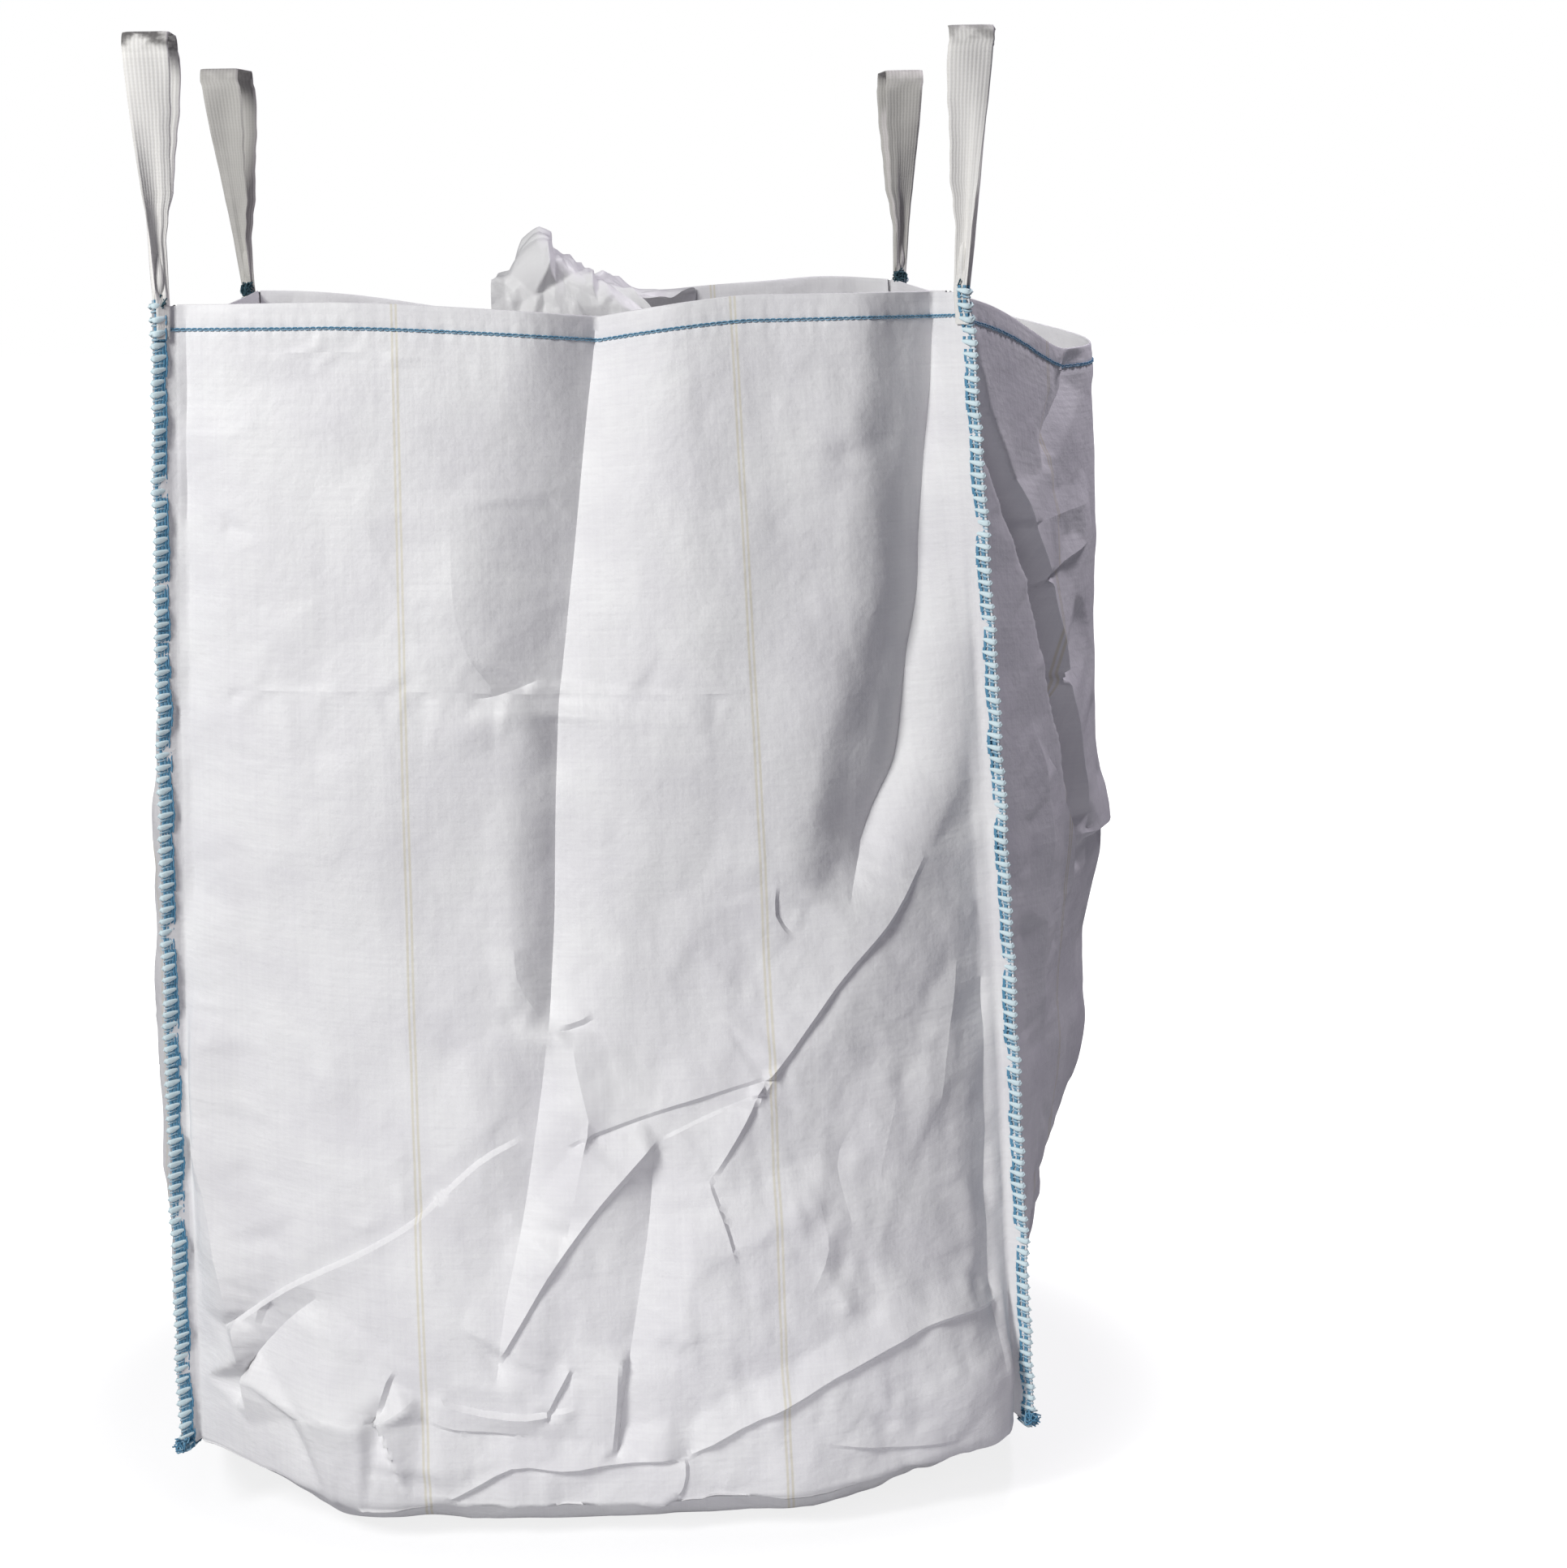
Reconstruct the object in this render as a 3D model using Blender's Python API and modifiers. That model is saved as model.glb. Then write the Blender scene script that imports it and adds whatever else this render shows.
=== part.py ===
"""An antistatic bulk bag of woven cloth, standing open on the floor with its four lifting loops up.

Metres, +Z up, the front towards -Y. The origin is the middle of the base, on the floor.
One long cloth makes the front, the base and the back. A side cloth is sewn to it on each side,
and the raw edges of both cloths stand out from every seam as a narrow fin.
"""

import bmesh
import bpy
import math
from mathutils import Vector

# Driving dimensions of the bag
RIM_HEIGHT = 1.410
RIM_HALF_WIDTH = 0.434
RIM_SHIFT = -0.018
RIM_HALF_DEPTH = 0.440
FOOT_HALF_WIDTH = 0.476
FOOT_HALF_DEPTH = 0.465
FOOT_HEIGHT = 0.105
SEAM_BOW = 0.006
BASE_SEAM_HEIGHT = 0.048
BASE_SEAM_BOW = 0.010

# Cloth, seams and hem
CLOTH = 0.002
GAP = 0.0003
FIN_WIDTH = 0.026
FIN_SIDEWAYS = 1.3
HEM_DEPTH = 0.026
THREAD_RADIUS = 0.0025
HEM_THREAD_WIDTH = 0.003
HEM_THREAD_THICKNESS = 0.001

# How far the long cloth swells out between its seams, as (height above the floor, swell)
FRONT_SWELL = ((0.0, 0.105), (0.25, 0.120), (0.80, 0.075), (RIM_HEIGHT, 0.030))
BACK_SWELL = ((0.0, 0.105), (0.25, 0.115), (0.80, 0.065), (RIM_HEIGHT, 0.020))
EDGE_POWER = 3.0
BASE_ROUNDING = 12.0
BASE_LIFT = 0.050
BASE_FLAT_TRIM = 0.004

# The upright valley in the middle of the front
VALLEY_DEPTH = 0.042
VALLEY_FOOT = 0.555
VALLEY_TOP_X = 0.018
VALLEY_FOOT_X = -0.057
VALLEY_WIDTH = 0.075
VALLEY_FADE = 0.150

# How far the side cloths stand out, as (height above the floor, swell)
RIGHT_SWELL = ((0.0, 0.057), (0.25, 0.079), (0.50, 0.147), (0.78, 0.189), (RIM_HEIGHT, 0.215))
LEFT_SWELL = ((0.0, 0.052), (0.25, 0.067), (0.80, 0.069), (RIM_HEIGHT, 0.052))
RIGHT_FOLD_ROUNDING = 0.12
LEFT_FOLD_ROUNDING = 0.90
SIDE_FOOT_POWER = 14.0
RIGHT_RIM_SAG = 0.070
LEFT_RIM_SAG = 0.030

# Dips and humps of the top hem of the long cloth, as (x, rise, half width)
FRONT_RIM_WAVES = ((0.018, -0.020, 0.110),)
BACK_RIM_WAVES = ((-0.120, -0.034, 0.200), (0.350, 0.012, 0.080))
RIM_WAVE_REACH = 0.35

# Lifting loops of flat webbing
WEBBING_WIDTH = 0.050
WEBBING_THICKNESS = 0.0025
TAIL_WIDTH = 0.017
TAIL_LENGTH = 0.055
TAIL_OFFSET = 0.0125
# Each loop's top, as (height above the hem, lean to the side, how far the second leg stands aside)
LOOP_TOPS = {
    "front_left": (0.296, -0.011, -0.003),
    "front_right": (0.290, 0.021, 0.011),
    "back_left": (0.296, -0.024, -0.009),
    "back_right": (0.280, 0.013, 0.004),
}
LOOP_HALF_SPREAD = 0.055
LOOP_CORNER_RADIUS = 0.016
# Heights above the hem between which a leg opens out, widens and turns square-on
LEG_SPREAD_FROM = 0.010
LEG_SPREAD_TO = 0.290
LEG_SHAPE_FROM = 0.010
LEG_SHAPE_TO = 0.115
LEG_STEPS = 12

# The thin crumpled cloth that is sewn inside the back hem and stands in the mouth
FLAP_LEFT_COLUMN = 6
FLAP_RIGHT_COLUMN = 11
FLAP_CLOTH = 0.0015
# Its middle line, as (y, height, narrowing)
FLAP_LINE = (
    (0.395, 1.428, 0.84),
    (0.360, 1.466, 0.62),
    (0.325, 1.486, 0.46),
    (0.290, 1.474, 0.48),
    (0.262, 1.432, 0.60),
    (0.255, 1.372, 0.74),
    (0.270, 1.312, 0.84),
)
FLAP_MIDDLE_X = -0.060
FLAP_SLOPE = 0.55

# How finely the cloths are drawn
WALL_ROWS = 15
BASE_ROWS = 12
PANEL_COLUMNS = 16
THREAD_SIDES = 6

COLLECTION = "antistatic_bulk_bag"


def clear_scene():
    """Remove what the scene holds."""
    for item in list(bpy.data.objects):
        bpy.data.objects.remove(item, do_unlink=True)


def make_collection():
    """The collection that the pieces go in."""
    group = bpy.data.collections.new(COLLECTION)
    bpy.context.scene.collection.children.link(group)
    return group


def make_material(name, color, roughness):
    """A plain finish for one piece."""
    material = bpy.data.materials.new(name)
    material.use_nodes = True
    shader = material.node_tree.nodes["Principled BSDF"]
    shader.inputs["Base Color"].default_value = (*color, 1.0)
    shader.inputs["Roughness"].default_value = roughness
    shader.inputs["Metallic"].default_value = 0.0
    return material


def lerp(start, end, share):
    """The value that lies at this share of the way."""
    return start + (end - start) * share


def ease(low, high, value):
    """0 below low, 1 above high, and a soft step between them."""
    share = min(max((value - low) / (high - low), 0.0), 1.0)
    return share * share * (3.0 - 2.0 * share)


def smooth_table(table, value):
    """Read a short table with an eased step between its entries."""
    if value <= table[0][0]:
        return table[0][1]
    for (low, first), (high, second) in zip(table, table[1:]):
        if value <= high:
            return lerp(first, second, ease(low, high, value))
    return table[-1][1]


def wall_shares():
    """How far down a wall each row of the cloth lies, closer together at the hem and the foot."""
    hem = HEM_DEPTH / (RIM_HEIGHT - FOOT_HEIGHT)
    shares = [0.0, hem]
    for row in range(1, WALL_ROWS):
        step = row / (WALL_ROWS - 1)
        eased = 1.0 - (1.0 - step) ** 1.6
        shares.append(lerp(hem, 1.0, eased))
    return shares


def base_shares():
    """How far along the base each row lies, from the front to the back."""
    shares = []
    for row in range(1, BASE_ROWS):
        step = row / BASE_ROWS
        shares.append(0.5 * step + 0.25 * (1.0 - math.cos(math.pi * step)))
    return shares


def seam_stations():
    """Every row of the long cloth: down the front, along the base and up the back."""
    walls = wall_shares()
    front = [("front", share) for share in walls]
    base = [("base", share) for share in base_shares()]
    back = [("back", share) for share in reversed(walls)]
    return front + base + back


def seam_point(side, station):
    """A point on the seam of one side; side is -1 on the left and 1 on the right."""
    part, share = station
    if part == "base":
        across = 1.0 - abs(2.0 * share - 1.0) ** 3
        x = side * (FOOT_HALF_WIDTH + BASE_SEAM_BOW * across)
        y = lerp(-FOOT_HALF_DEPTH, FOOT_HALF_DEPTH, share)
        return Vector((x, y, lerp(FOOT_HEIGHT, BASE_SEAM_HEIGHT, across)))
    facing = -1.0 if part == "front" else 1.0
    half_width = lerp(RIM_HALF_WIDTH, FOOT_HALF_WIDTH, share) + SEAM_BOW * math.sin(math.pi * share)
    x = side * half_width + lerp(RIM_SHIFT, 0.0, share)
    y = facing * lerp(RIM_HALF_DEPTH, FOOT_HALF_DEPTH, share)
    return Vector((x, y, lerp(RIM_HEIGHT, FOOT_HEIGHT, share)))


def seam_frames(side):
    """For every station: the seam point, the way its fin stands out, and the fin's face."""
    stations = seam_stations()
    points = [seam_point(side, station) for station in stations]
    frames = []
    for index, point in enumerate(points):
        ahead = points[min(index + 1, len(points) - 1)]
        behind = points[max(index - 1, 0)]
        run = ahead - behind
        outward = Vector((0.0, run.z, -run.y)).normalized()
        fin = (Vector((side * FIN_SIDEWAYS, 0.0, 0.0)) + outward).normalized()
        face = (outward - fin * outward.dot(fin)).normalized()
        frames.append((point, fin, face))
    return frames


def rim_rise(part, x):
    """How far the top hem of the long cloth rises above its corners at this x."""
    waves = FRONT_RIM_WAVES if part == "front" else BACK_RIM_WAVES
    rise = 0.0
    for middle, height, width in waves:
        rise += height * math.exp(-(((x - middle) / width) ** 2))
    return rise


def front_valley(x, height):
    """How far the front is drawn in by its middle valley."""
    strength = ease(VALLEY_FOOT, VALLEY_FOOT + VALLEY_FADE, height)
    climb = (height - VALLEY_FOOT) / (RIM_HEIGHT - VALLEY_FOOT)
    middle = lerp(VALLEY_FOOT_X, VALLEY_TOP_X, climb)
    return VALLEY_DEPTH * strength * math.exp(-(((x - middle) / VALLEY_WIDTH) ** 2))


def long_cloth_point(station, across):
    """A point on the inner face of the long cloth; across runs from -1 on the left to 1."""
    part, share = station
    left = seam_point(-1.0, station)
    right = seam_point(1.0, station)
    seam = left.lerp(right, (across + 1.0) / 2.0)
    bulge = 1.0 - abs(across) ** EDGE_POWER
    if part == "base":
        turn = math.cos(math.pi * share)
        reach = FOOT_HALF_DEPTH + FRONT_SWELL[0][1]
        middle_y = -reach * turn
        middle_z = BASE_LIFT * abs(turn) ** BASE_ROUNDING
        y = lerp(seam.y, middle_y, bulge)
        z = lerp(seam.z, middle_z, bulge)
        return Vector((seam.x, y, max(CLOTH, z - BASE_FLAT_TRIM)))
    height = lerp(seam.z, lerp(RIM_HEIGHT, BASE_LIFT, share), bulge)
    hem_share = max(0.0, 1.0 - (RIM_HEIGHT - seam.z) / RIM_WAVE_REACH)
    rise = rim_rise(part, seam.x) * bulge * hem_share * hem_share
    trim = BASE_FLAT_TRIM * share ** 8 * bulge
    if part == "front":
        swell = smooth_table(FRONT_SWELL, height) * bulge - front_valley(seam.x, height)
        return Vector((seam.x, seam.y - swell, height + rise - trim))
    swell = smooth_table(BACK_SWELL, height) * bulge
    return Vector((seam.x, seam.y + swell, height + rise - trim))


def side_swell(side, height, depth_share):
    """How far a side cloth stands out at this height and share of the depth."""
    along = 2.0 * depth_share - 1.0
    rounding = RIGHT_FOLD_ROUNDING if side > 0 else LEFT_FOLD_ROUNDING
    tip = math.hypot(along, rounding) - rounding
    fold = 1.0 - tip / (math.hypot(1.0, rounding) - rounding)
    table = RIGHT_SWELL if side > 0 else LEFT_SWELL
    return smooth_table(table, height) * fold, fold


def side_cloth_point(side, down, depth_share, base_station):
    """A point on the inner face of a side cloth, down from the hem and along from the front."""
    front = seam_point(side, ("front", down))
    back = seam_point(side, ("back", down))
    hem = front.lerp(back, depth_share)
    foot = seam_point(side, base_station)
    top = RIM_HEIGHT
    height = lerp(top, foot.z, down)
    swell, fold = side_swell(side, height, depth_share)
    sag = RIGHT_RIM_SAG if side > 0 else LEFT_RIM_SAG
    drop = sag * fold * (1.0 - down) ** 4
    closing = math.sqrt(max(0.0, 1.0 - down ** SIDE_FOOT_POWER))
    bow = (foot.x - side * FOOT_HALF_WIDTH) * down
    return Vector((hem.x + side * swell * closing + bow, hem.y, height - drop))


def finish_mesh(name, mesh, group, material):
    """Put a finished mesh in the scene as a named piece, shaded smooth with crisp edges."""
    mesh.name = name
    mesh.materials.append(material)
    mesh.shade_smooth()
    mesh.set_sharp_from_angle(angle=math.radians(40.0))
    piece = bpy.data.objects.new(name, mesh)
    group.objects.link(piece)
    return piece


def add_wall(piece, thickness):
    """Give an open cloth its thickness on the outer side."""
    wall = piece.modifiers.new("cloth_thickness", "SOLIDIFY")
    wall.thickness = thickness
    wall.offset = 1.0
    wall.use_even_offset = True
    wall.use_quality_normals = True
    return piece


def cloth_mesh(rows, edges, flip):
    """A mesh through a grid of points, with a fin along each listed run of its border."""
    builder = bmesh.new()
    grid = [[builder.verts.new(point) for point in row] for row in rows]
    faces = []
    for upper, lower in zip(grid, grid[1:]):
        for column in range(len(upper) - 1):
            faces.append((upper[column], upper[column + 1], lower[column + 1], lower[column]))
    for indices, tips in edges:
        run = [grid[row][column] for row, column in indices]
        fins = [builder.verts.new(tip) for tip in tips]
        for step in range(len(run) - 1):
            faces.append((fins[step], run[step], run[step + 1], fins[step + 1]))
    for face in faces:
        builder.faces.new(face)
    bmesh.ops.recalc_face_normals(builder, faces=builder.faces)
    if flip(builder):
        bmesh.ops.reverse_faces(builder, faces=builder.faces)
    mesh = bpy.data.meshes.new("cloth")
    builder.to_mesh(mesh)
    builder.free()
    return mesh


def make_long_cloth(group):
    """The cloth that is the front, the base and the back."""
    stations = seam_stations()
    left = seam_frames(-1.0)
    right = seam_frames(1.0)
    rows = []
    for index, station in enumerate(stations):
        row = []
        for column in range(PANEL_COLUMNS + 1):
            across = 2.0 * column / PANEL_COLUMNS - 1.0
            row.append(long_cloth_point(station, across))
        row[0] = left[index][0] + left[index][2] * GAP / 2.0
        row[-1] = right[index][0] + right[index][2] * GAP / 2.0
        rows.append(row)
    edges = []
    for frames, column in ((left, 0), (right, PANEL_COLUMNS)):
        indices = [(row, column) for row in range(len(stations))]
        tips = [point + fin * FIN_WIDTH + face * GAP / 2.0 for point, fin, face in frames]
        edges.append((indices, tips))

    def points_in(builder):
        builder.faces.ensure_lookup_table()
        middle = builder.faces[PANEL_COLUMNS * (WALL_ROWS // 2) + PANEL_COLUMNS // 2]
        return middle.normal.y > 0.0

    mesh = cloth_mesh(rows, edges, points_in)
    material = make_material("woven_cloth_long", (0.80, 0.79, 0.82), 0.55)
    return add_wall(finish_mesh("front_base_back_cloth", mesh, group, material), CLOTH)


def make_side_cloth(group, side, name):
    """A side cloth, sewn to the long cloth down the front, along the base and up the back."""
    frames = seam_frames(side)
    walls = wall_shares()
    stations = seam_stations()
    last = len(walls) - 1
    count = BASE_ROWS + 1
    rows = []
    for index, down in enumerate(walls):
        row = []
        for column in range(count):
            station = stations[last + column]
            depth = (0.0 if column == 0 else 1.0) if station[0] != "base" else station[1]
            row.append(side_cloth_point(side, down, depth, station))
        row[0] = frames[index][0] - frames[index][2] * GAP / 2.0
        mirror = frames[len(stations) - 1 - index]
        row[-1] = mirror[0] - mirror[2] * GAP / 2.0
        rows.append(row)
    for column in range(count):
        point, fin, face = frames[last + column]
        rows[last][column] = point - face * GAP / 2.0
    down_front = [(row, 0) for row in range(last + 1)]
    along_base = [(last, column) for column in range(1, count)]
    up_back = [(row, count - 1) for row in range(last - 1, -1, -1)]
    indices = down_front + along_base + up_back
    tips = [point + fin * FIN_WIDTH - face * GAP / 2.0 for point, fin, face in frames]

    def points_in(builder):
        builder.faces.ensure_lookup_table()
        middle = builder.faces[BASE_ROWS * (WALL_ROWS // 2) + BASE_ROWS // 2]
        return middle.normal.x * side < 0.0

    mesh = cloth_mesh(rows, [(indices, tips)], points_in)
    material = make_material("woven_cloth_" + name, (0.78, 0.77, 0.80), 0.55)
    return add_wall(finish_mesh(name, mesh, group, material), CLOTH)


def make_tube(group, name, points, radius, sides, material):
    """A thread tube along a run of points."""
    curve = bpy.data.curves.new(name, "CURVE")
    curve.dimensions = "3D"
    curve.bevel_depth = radius
    curve.bevel_resolution = (sides - 4) // 2
    curve.use_fill_caps = True
    spline = curve.splines.new("POLY")
    spline.points.add(len(points) - 1)
    for target, point in zip(spline.points, points):
        target.co = (*point, 1.0)
    curve.materials.append(material)
    piece = bpy.data.objects.new(name, curve)
    group.objects.link(piece)
    return piece


def make_seam_threads(group):
    """The blue overlock thread around the edge of each fin: four corners and two base sides."""
    blue = (0.10, 0.33, 0.52)
    walls = wall_shares()
    stations = seam_stations()
    last = len(walls) - 1
    reach = FIN_WIDTH + GAP + THREAD_RADIUS
    first = next(i for i, share in enumerate(walls) if share * (RIM_HEIGHT - FOOT_HEIGHT) > TAIL_LENGTH)
    for side, word in ((-1.0, "left"), (1.0, "right")):
        frames = seam_frames(side)
        tips = [point + fin * reach for point, fin, face in frames]
        runs = (
            ("front_" + word + "_corner_thread", tips[first:last]),
            ("base_" + word + "_thread", tips[last + 1:len(stations) - last - 1]),
            ("back_" + word + "_corner_thread", tips[len(stations) - last:len(stations) - first]),
        )
        for name, points in runs:
            material = make_material("thread_" + name, blue, 0.6)
            make_tube(group, name, points, THREAD_RADIUS, THREAD_SIDES, material)


def ribbon_mesh(path, normals, width, thickness):
    """A flat ribbon that lies on a surface along a run of points."""
    builder = bmesh.new()
    rings = []
    for point, normal in zip(path, normals):
        up = Vector((0.0, 0.0, 1.0))
        across = (up - normal * up.dot(normal)).normalized() * width / 2.0
        near = normal * GAP
        far = normal * (GAP + thickness)
        corners = (near - across, far - across, far + across, near + across)
        rings.append([builder.verts.new(point + corner) for corner in corners])
    return close_loft(builder, rings)


def close_loft(builder, rings):
    """Join rings of four points into one closed solid, both broad faces split the same way."""
    for first, second in zip(rings, rings[1:]):
        for corner in range(4):
            turn = (corner + 1) % 4
            if corner < 2:
                builder.faces.new((first[corner], first[turn], second[turn]))
                builder.faces.new((first[corner], second[turn], second[corner]))
            else:
                builder.faces.new((first[corner], first[turn], second[corner]))
                builder.faces.new((first[turn], second[turn], second[corner]))
    builder.faces.new(rings[0])
    builder.faces.new(list(reversed(rings[-1])))
    bmesh.ops.recalc_face_normals(builder, faces=builder.faces)
    mesh = bpy.data.meshes.new("loft")
    builder.to_mesh(mesh)
    builder.free()
    return mesh


def outer_row(rows, index):
    """Points and outward normals on the outer face along one row of a grid of points."""
    path = []
    normals = []
    row = rows[index]
    for column in range(1, len(row) - 1):
        along = row[column + 1] - row[column - 1]
        down = rows[index + 1][column] - rows[index - 1][column]
        normal = along.cross(down).normalized()
        if normal.dot(Vector((row[column].x, row[column].y, 0.0))) < 0.0:
            normal = -normal
        path.append(row[column] + normal * CLOTH)
        normals.append(normal)
    return path, normals


def make_hem_threads(group):
    """The blue line of chain stitch below the top hem, one run on each wall."""
    walls = wall_shares()
    grids = []
    for part in ("front", "back"):
        rows = []
        for share in walls[:3]:
            cells = range(PANEL_COLUMNS + 1)
            rows.append([long_cloth_point((part, share), 2.0 * c / PANEL_COLUMNS - 1.0) for c in cells])
        grids.append((part + "_hem_thread", rows))
    depths = [0.0] + base_shares() + [1.0]
    for side, word in ((-1.0, "left"), (1.0, "right")):
        rows = []
        for share in walls[:3]:
            rows.append([side_cloth_point(side, share, d, ("base", d)) for d in depths])
        grids.append((word + "_hem_thread", rows))
    for name, rows in grids:
        path, normals = outer_row(rows, 1)
        mesh = ribbon_mesh(path, normals, HEM_THREAD_WIDTH, HEM_THREAD_THICKNESS)
        finish_mesh(name, mesh, group, make_material("thread_" + name, (0.12, 0.36, 0.52), 0.6))


def loop_leg(side, facing, leg, top, lean):
    """Sections of one leg, from its sewn tail up; leg is 1 beside the long cloth, -1 beside the side."""
    fin = Vector((side * FIN_SIDEWAYS, facing, 0.0)).normalized()
    fin_face = Vector((-side, facing * FIN_SIDEWAYS, 0.0)).normalized() * leg
    square = Vector((0.0, facing * leg, 0.0))
    layer = GAP / 2.0 + CLOTH + GAP + WEBBING_THICKNESS / 2.0
    wall = "front" if facing < 0.0 else "back"
    straight_top = top - LOOP_CORNER_RADIUS
    heights = [-TAIL_LENGTH] + [straight_top * step / LEG_STEPS for step in range(LEG_STEPS)]
    sections = []
    for height in heights:
        turn = ease(LEG_SHAPE_FROM, LEG_SHAPE_TO, height)
        width = lerp(TAIL_WIDTH, WEBBING_WIDTH, turn)
        spread = LOOP_HALF_SPREAD * ease(LEG_SPREAD_FROM, LEG_SPREAD_TO, height)
        sewn = min(height, 0.0)
        seam = seam_point(side, (wall, -sewn / (RIM_HEIGHT - FOOT_HEIGHT)))
        normal = fin_face.lerp(square, turn).normalized()
        across = Vector((-normal.y, normal.x, 0.0))
        centre = seam + fin * TAIL_OFFSET * (1.0 - turn)
        centre = centre + normal * layer + square * spread
        rise = Vector((lean * max(height, 0.0) / top, 0.0, height - sewn))
        sections.append((centre + rise, across, normal, width))
    return sections


def loop_arch(corner, facing, leg, top, lean):
    """Sections around the upper corner of a loop, from its leg to the middle of its flat top."""
    outward = Vector((0.0, facing * leg, 0.0))
    up = Vector((0.0, 0.0, 1.0))
    across = Vector((-outward.y, outward.x, 0.0))
    middle = corner + up * (top - LOOP_CORNER_RADIUS) + Vector((lean, 0.0, 0.0))
    middle = middle + outward * (LOOP_HALF_SPREAD - LOOP_CORNER_RADIUS)
    sections = []
    for step in range(5):
        angle = math.radians(22.5) * step
        normal = outward * math.cos(angle) + up * math.sin(angle)
        sections.append((middle + normal * LOOP_CORNER_RADIUS, across, normal, WEBBING_WIDTH))
    return sections


def make_loops(group):
    """Four loops of webbing, their tails sewn over the tops of the corner fins."""
    for facing, depth_word in ((-1.0, "front"), (1.0, "back")):
        for side, side_word in ((-1.0, "left"), (1.0, "right")):
            corner = seam_point(side, (depth_word, 0.0))
            place = depth_word + "_" + side_word
            top, lean, aside = LOOP_TOPS[place]
            halves = []
            for leg, shift in ((1.0, lean), (-1.0, lean + aside)):
                rise = loop_leg(side, facing, leg, top, shift)
                halves.append(rise + loop_arch(corner, facing, leg, top, shift))
            builder = bmesh.new()
            rings = []
            for run, sense in ((halves[0], 1.0), (list(reversed(halves[1])), -1.0)):
                for centre, across, normal, width in run:
                    wide = across * sense * width / 2.0
                    thick = normal * WEBBING_THICKNESS / 2.0
                    corners = (wide - thick, wide + thick, thick - wide, -wide - thick)
                    rings.append([builder.verts.new(centre + offset) for offset in corners])
            name = "lifting_loop_" + place
            material = make_material("webbing_" + place, (0.74, 0.72, 0.66), 0.8)
            finish_mesh(name, close_loft(builder, rings), group, material)


def make_flap(group):
    """The thin crumpled cloth, sewn inside the back hem and folded up through the mouth."""
    walls = wall_shares()
    columns = range(FLAP_LEFT_COLUMN, FLAP_RIGHT_COLUMN + 1)
    inner = []
    for share in (walls[2], walls[1], walls[0]):
        row = []
        for column in columns:
            across = 2.0 * column / PANEL_COLUMNS - 1.0
            point = long_cloth_point(("back", share), across)
            row.append(point + Vector((0.0, -(GAP * 2.0 + FLAP_CLOTH), 0.0)))
        inner.append(row)
    rim = inner[-1]
    rows = list(inner)
    for y, height, narrow in FLAP_LINE:
        row = []
        for point in rim:
            x = lerp(FLAP_MIDDLE_X, point.x, narrow)
            fall = max(0.0, x - FLAP_MIDDLE_X) * FLAP_SLOPE * max(0.0, height - RIM_HEIGHT) / 0.08
            row.append(Vector((x, y, height - fall)))
        rows.append(row)

    def points_in(builder):
        builder.faces.ensure_lookup_table()
        return builder.faces[0].normal.y < 0.0

    mesh = cloth_mesh(rows, [], points_in)
    material = make_material("thin_cloth", (0.82, 0.82, 0.80), 0.5)
    return add_wall(finish_mesh("crumpled_top_cloth", mesh, group, material), FLAP_CLOTH)


def main():
    """Build the whole bag."""
    clear_scene()
    group = make_collection()
    make_long_cloth(group)
    make_side_cloth(group, -1.0, "left_side_cloth")
    make_side_cloth(group, 1.0, "right_side_cloth")
    make_seam_threads(group)
    make_hem_threads(group)
    make_loops(group)
    make_flap(group)


main()
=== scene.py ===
"""The looks of an antistatic bulk bag: creased woven cloth, overlocked corner seams and webbing loops.

Metres, +Z up, the front towards -Y. One long cloth is the front, the base and the back, a side cloth
is sewn to it on each side, and the raw edges of both stand out from every seam as a narrow fin.
"""

import logging
import math
from dataclasses import dataclass, replace
from enum import Enum
from itertools import product

import bpy
import numpy as np
from mathutils import Matrix, Vector
from mathutils.bvhtree import BVHTree
from mathutils.geometry import delaunay_2d_cdt


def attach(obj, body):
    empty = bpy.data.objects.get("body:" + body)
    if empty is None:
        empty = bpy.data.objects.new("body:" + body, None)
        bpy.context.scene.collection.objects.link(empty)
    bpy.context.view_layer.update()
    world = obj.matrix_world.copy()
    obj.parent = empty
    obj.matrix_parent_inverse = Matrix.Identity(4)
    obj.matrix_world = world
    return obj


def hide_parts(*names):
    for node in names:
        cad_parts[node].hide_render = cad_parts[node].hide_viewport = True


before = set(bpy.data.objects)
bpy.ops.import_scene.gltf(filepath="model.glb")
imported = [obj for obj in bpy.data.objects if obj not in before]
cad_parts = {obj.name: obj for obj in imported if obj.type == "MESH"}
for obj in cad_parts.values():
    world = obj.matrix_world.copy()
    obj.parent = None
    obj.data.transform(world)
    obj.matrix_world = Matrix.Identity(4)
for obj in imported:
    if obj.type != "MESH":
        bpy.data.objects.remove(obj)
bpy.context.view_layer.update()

LOG = logging.getLogger("bulk_bag")
Table = tuple[tuple[float, float], ...]
Colour = tuple[float, float, float]
Array = np.ndarray
Values = float | Array
Socket = bpy.types.NodeSocket
Path = tuple[Array, Array]
Edges = list[tuple[int, int]]
Section = tuple[Array, Array, Array, float, float]

# In metres: how closely creases are followed, the least step between two flanks that gets its own
# sharp foot, how wide a bank is before its step is added, and how uneven a crease's height is
CREASE_SPACING = 0.020
LEAST_STEP = 0.0035
BANK_WIDTH = 0.0022
CREASE_UNEVENNESS = 0.0015


class Wall(Enum):
    """The three stretches of the long cloth."""

    FRONT = "front"
    BASE = "base"
    BACK = "back"

    @property
    def facing(self) -> float:
        """Which way an upright wall faces along Y."""
        return -1.0 if self is Wall.FRONT else 1.0


class Side(Enum):
    """The two sides of the bag."""

    LEFT = -1.0
    RIGHT = 1.0


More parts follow.
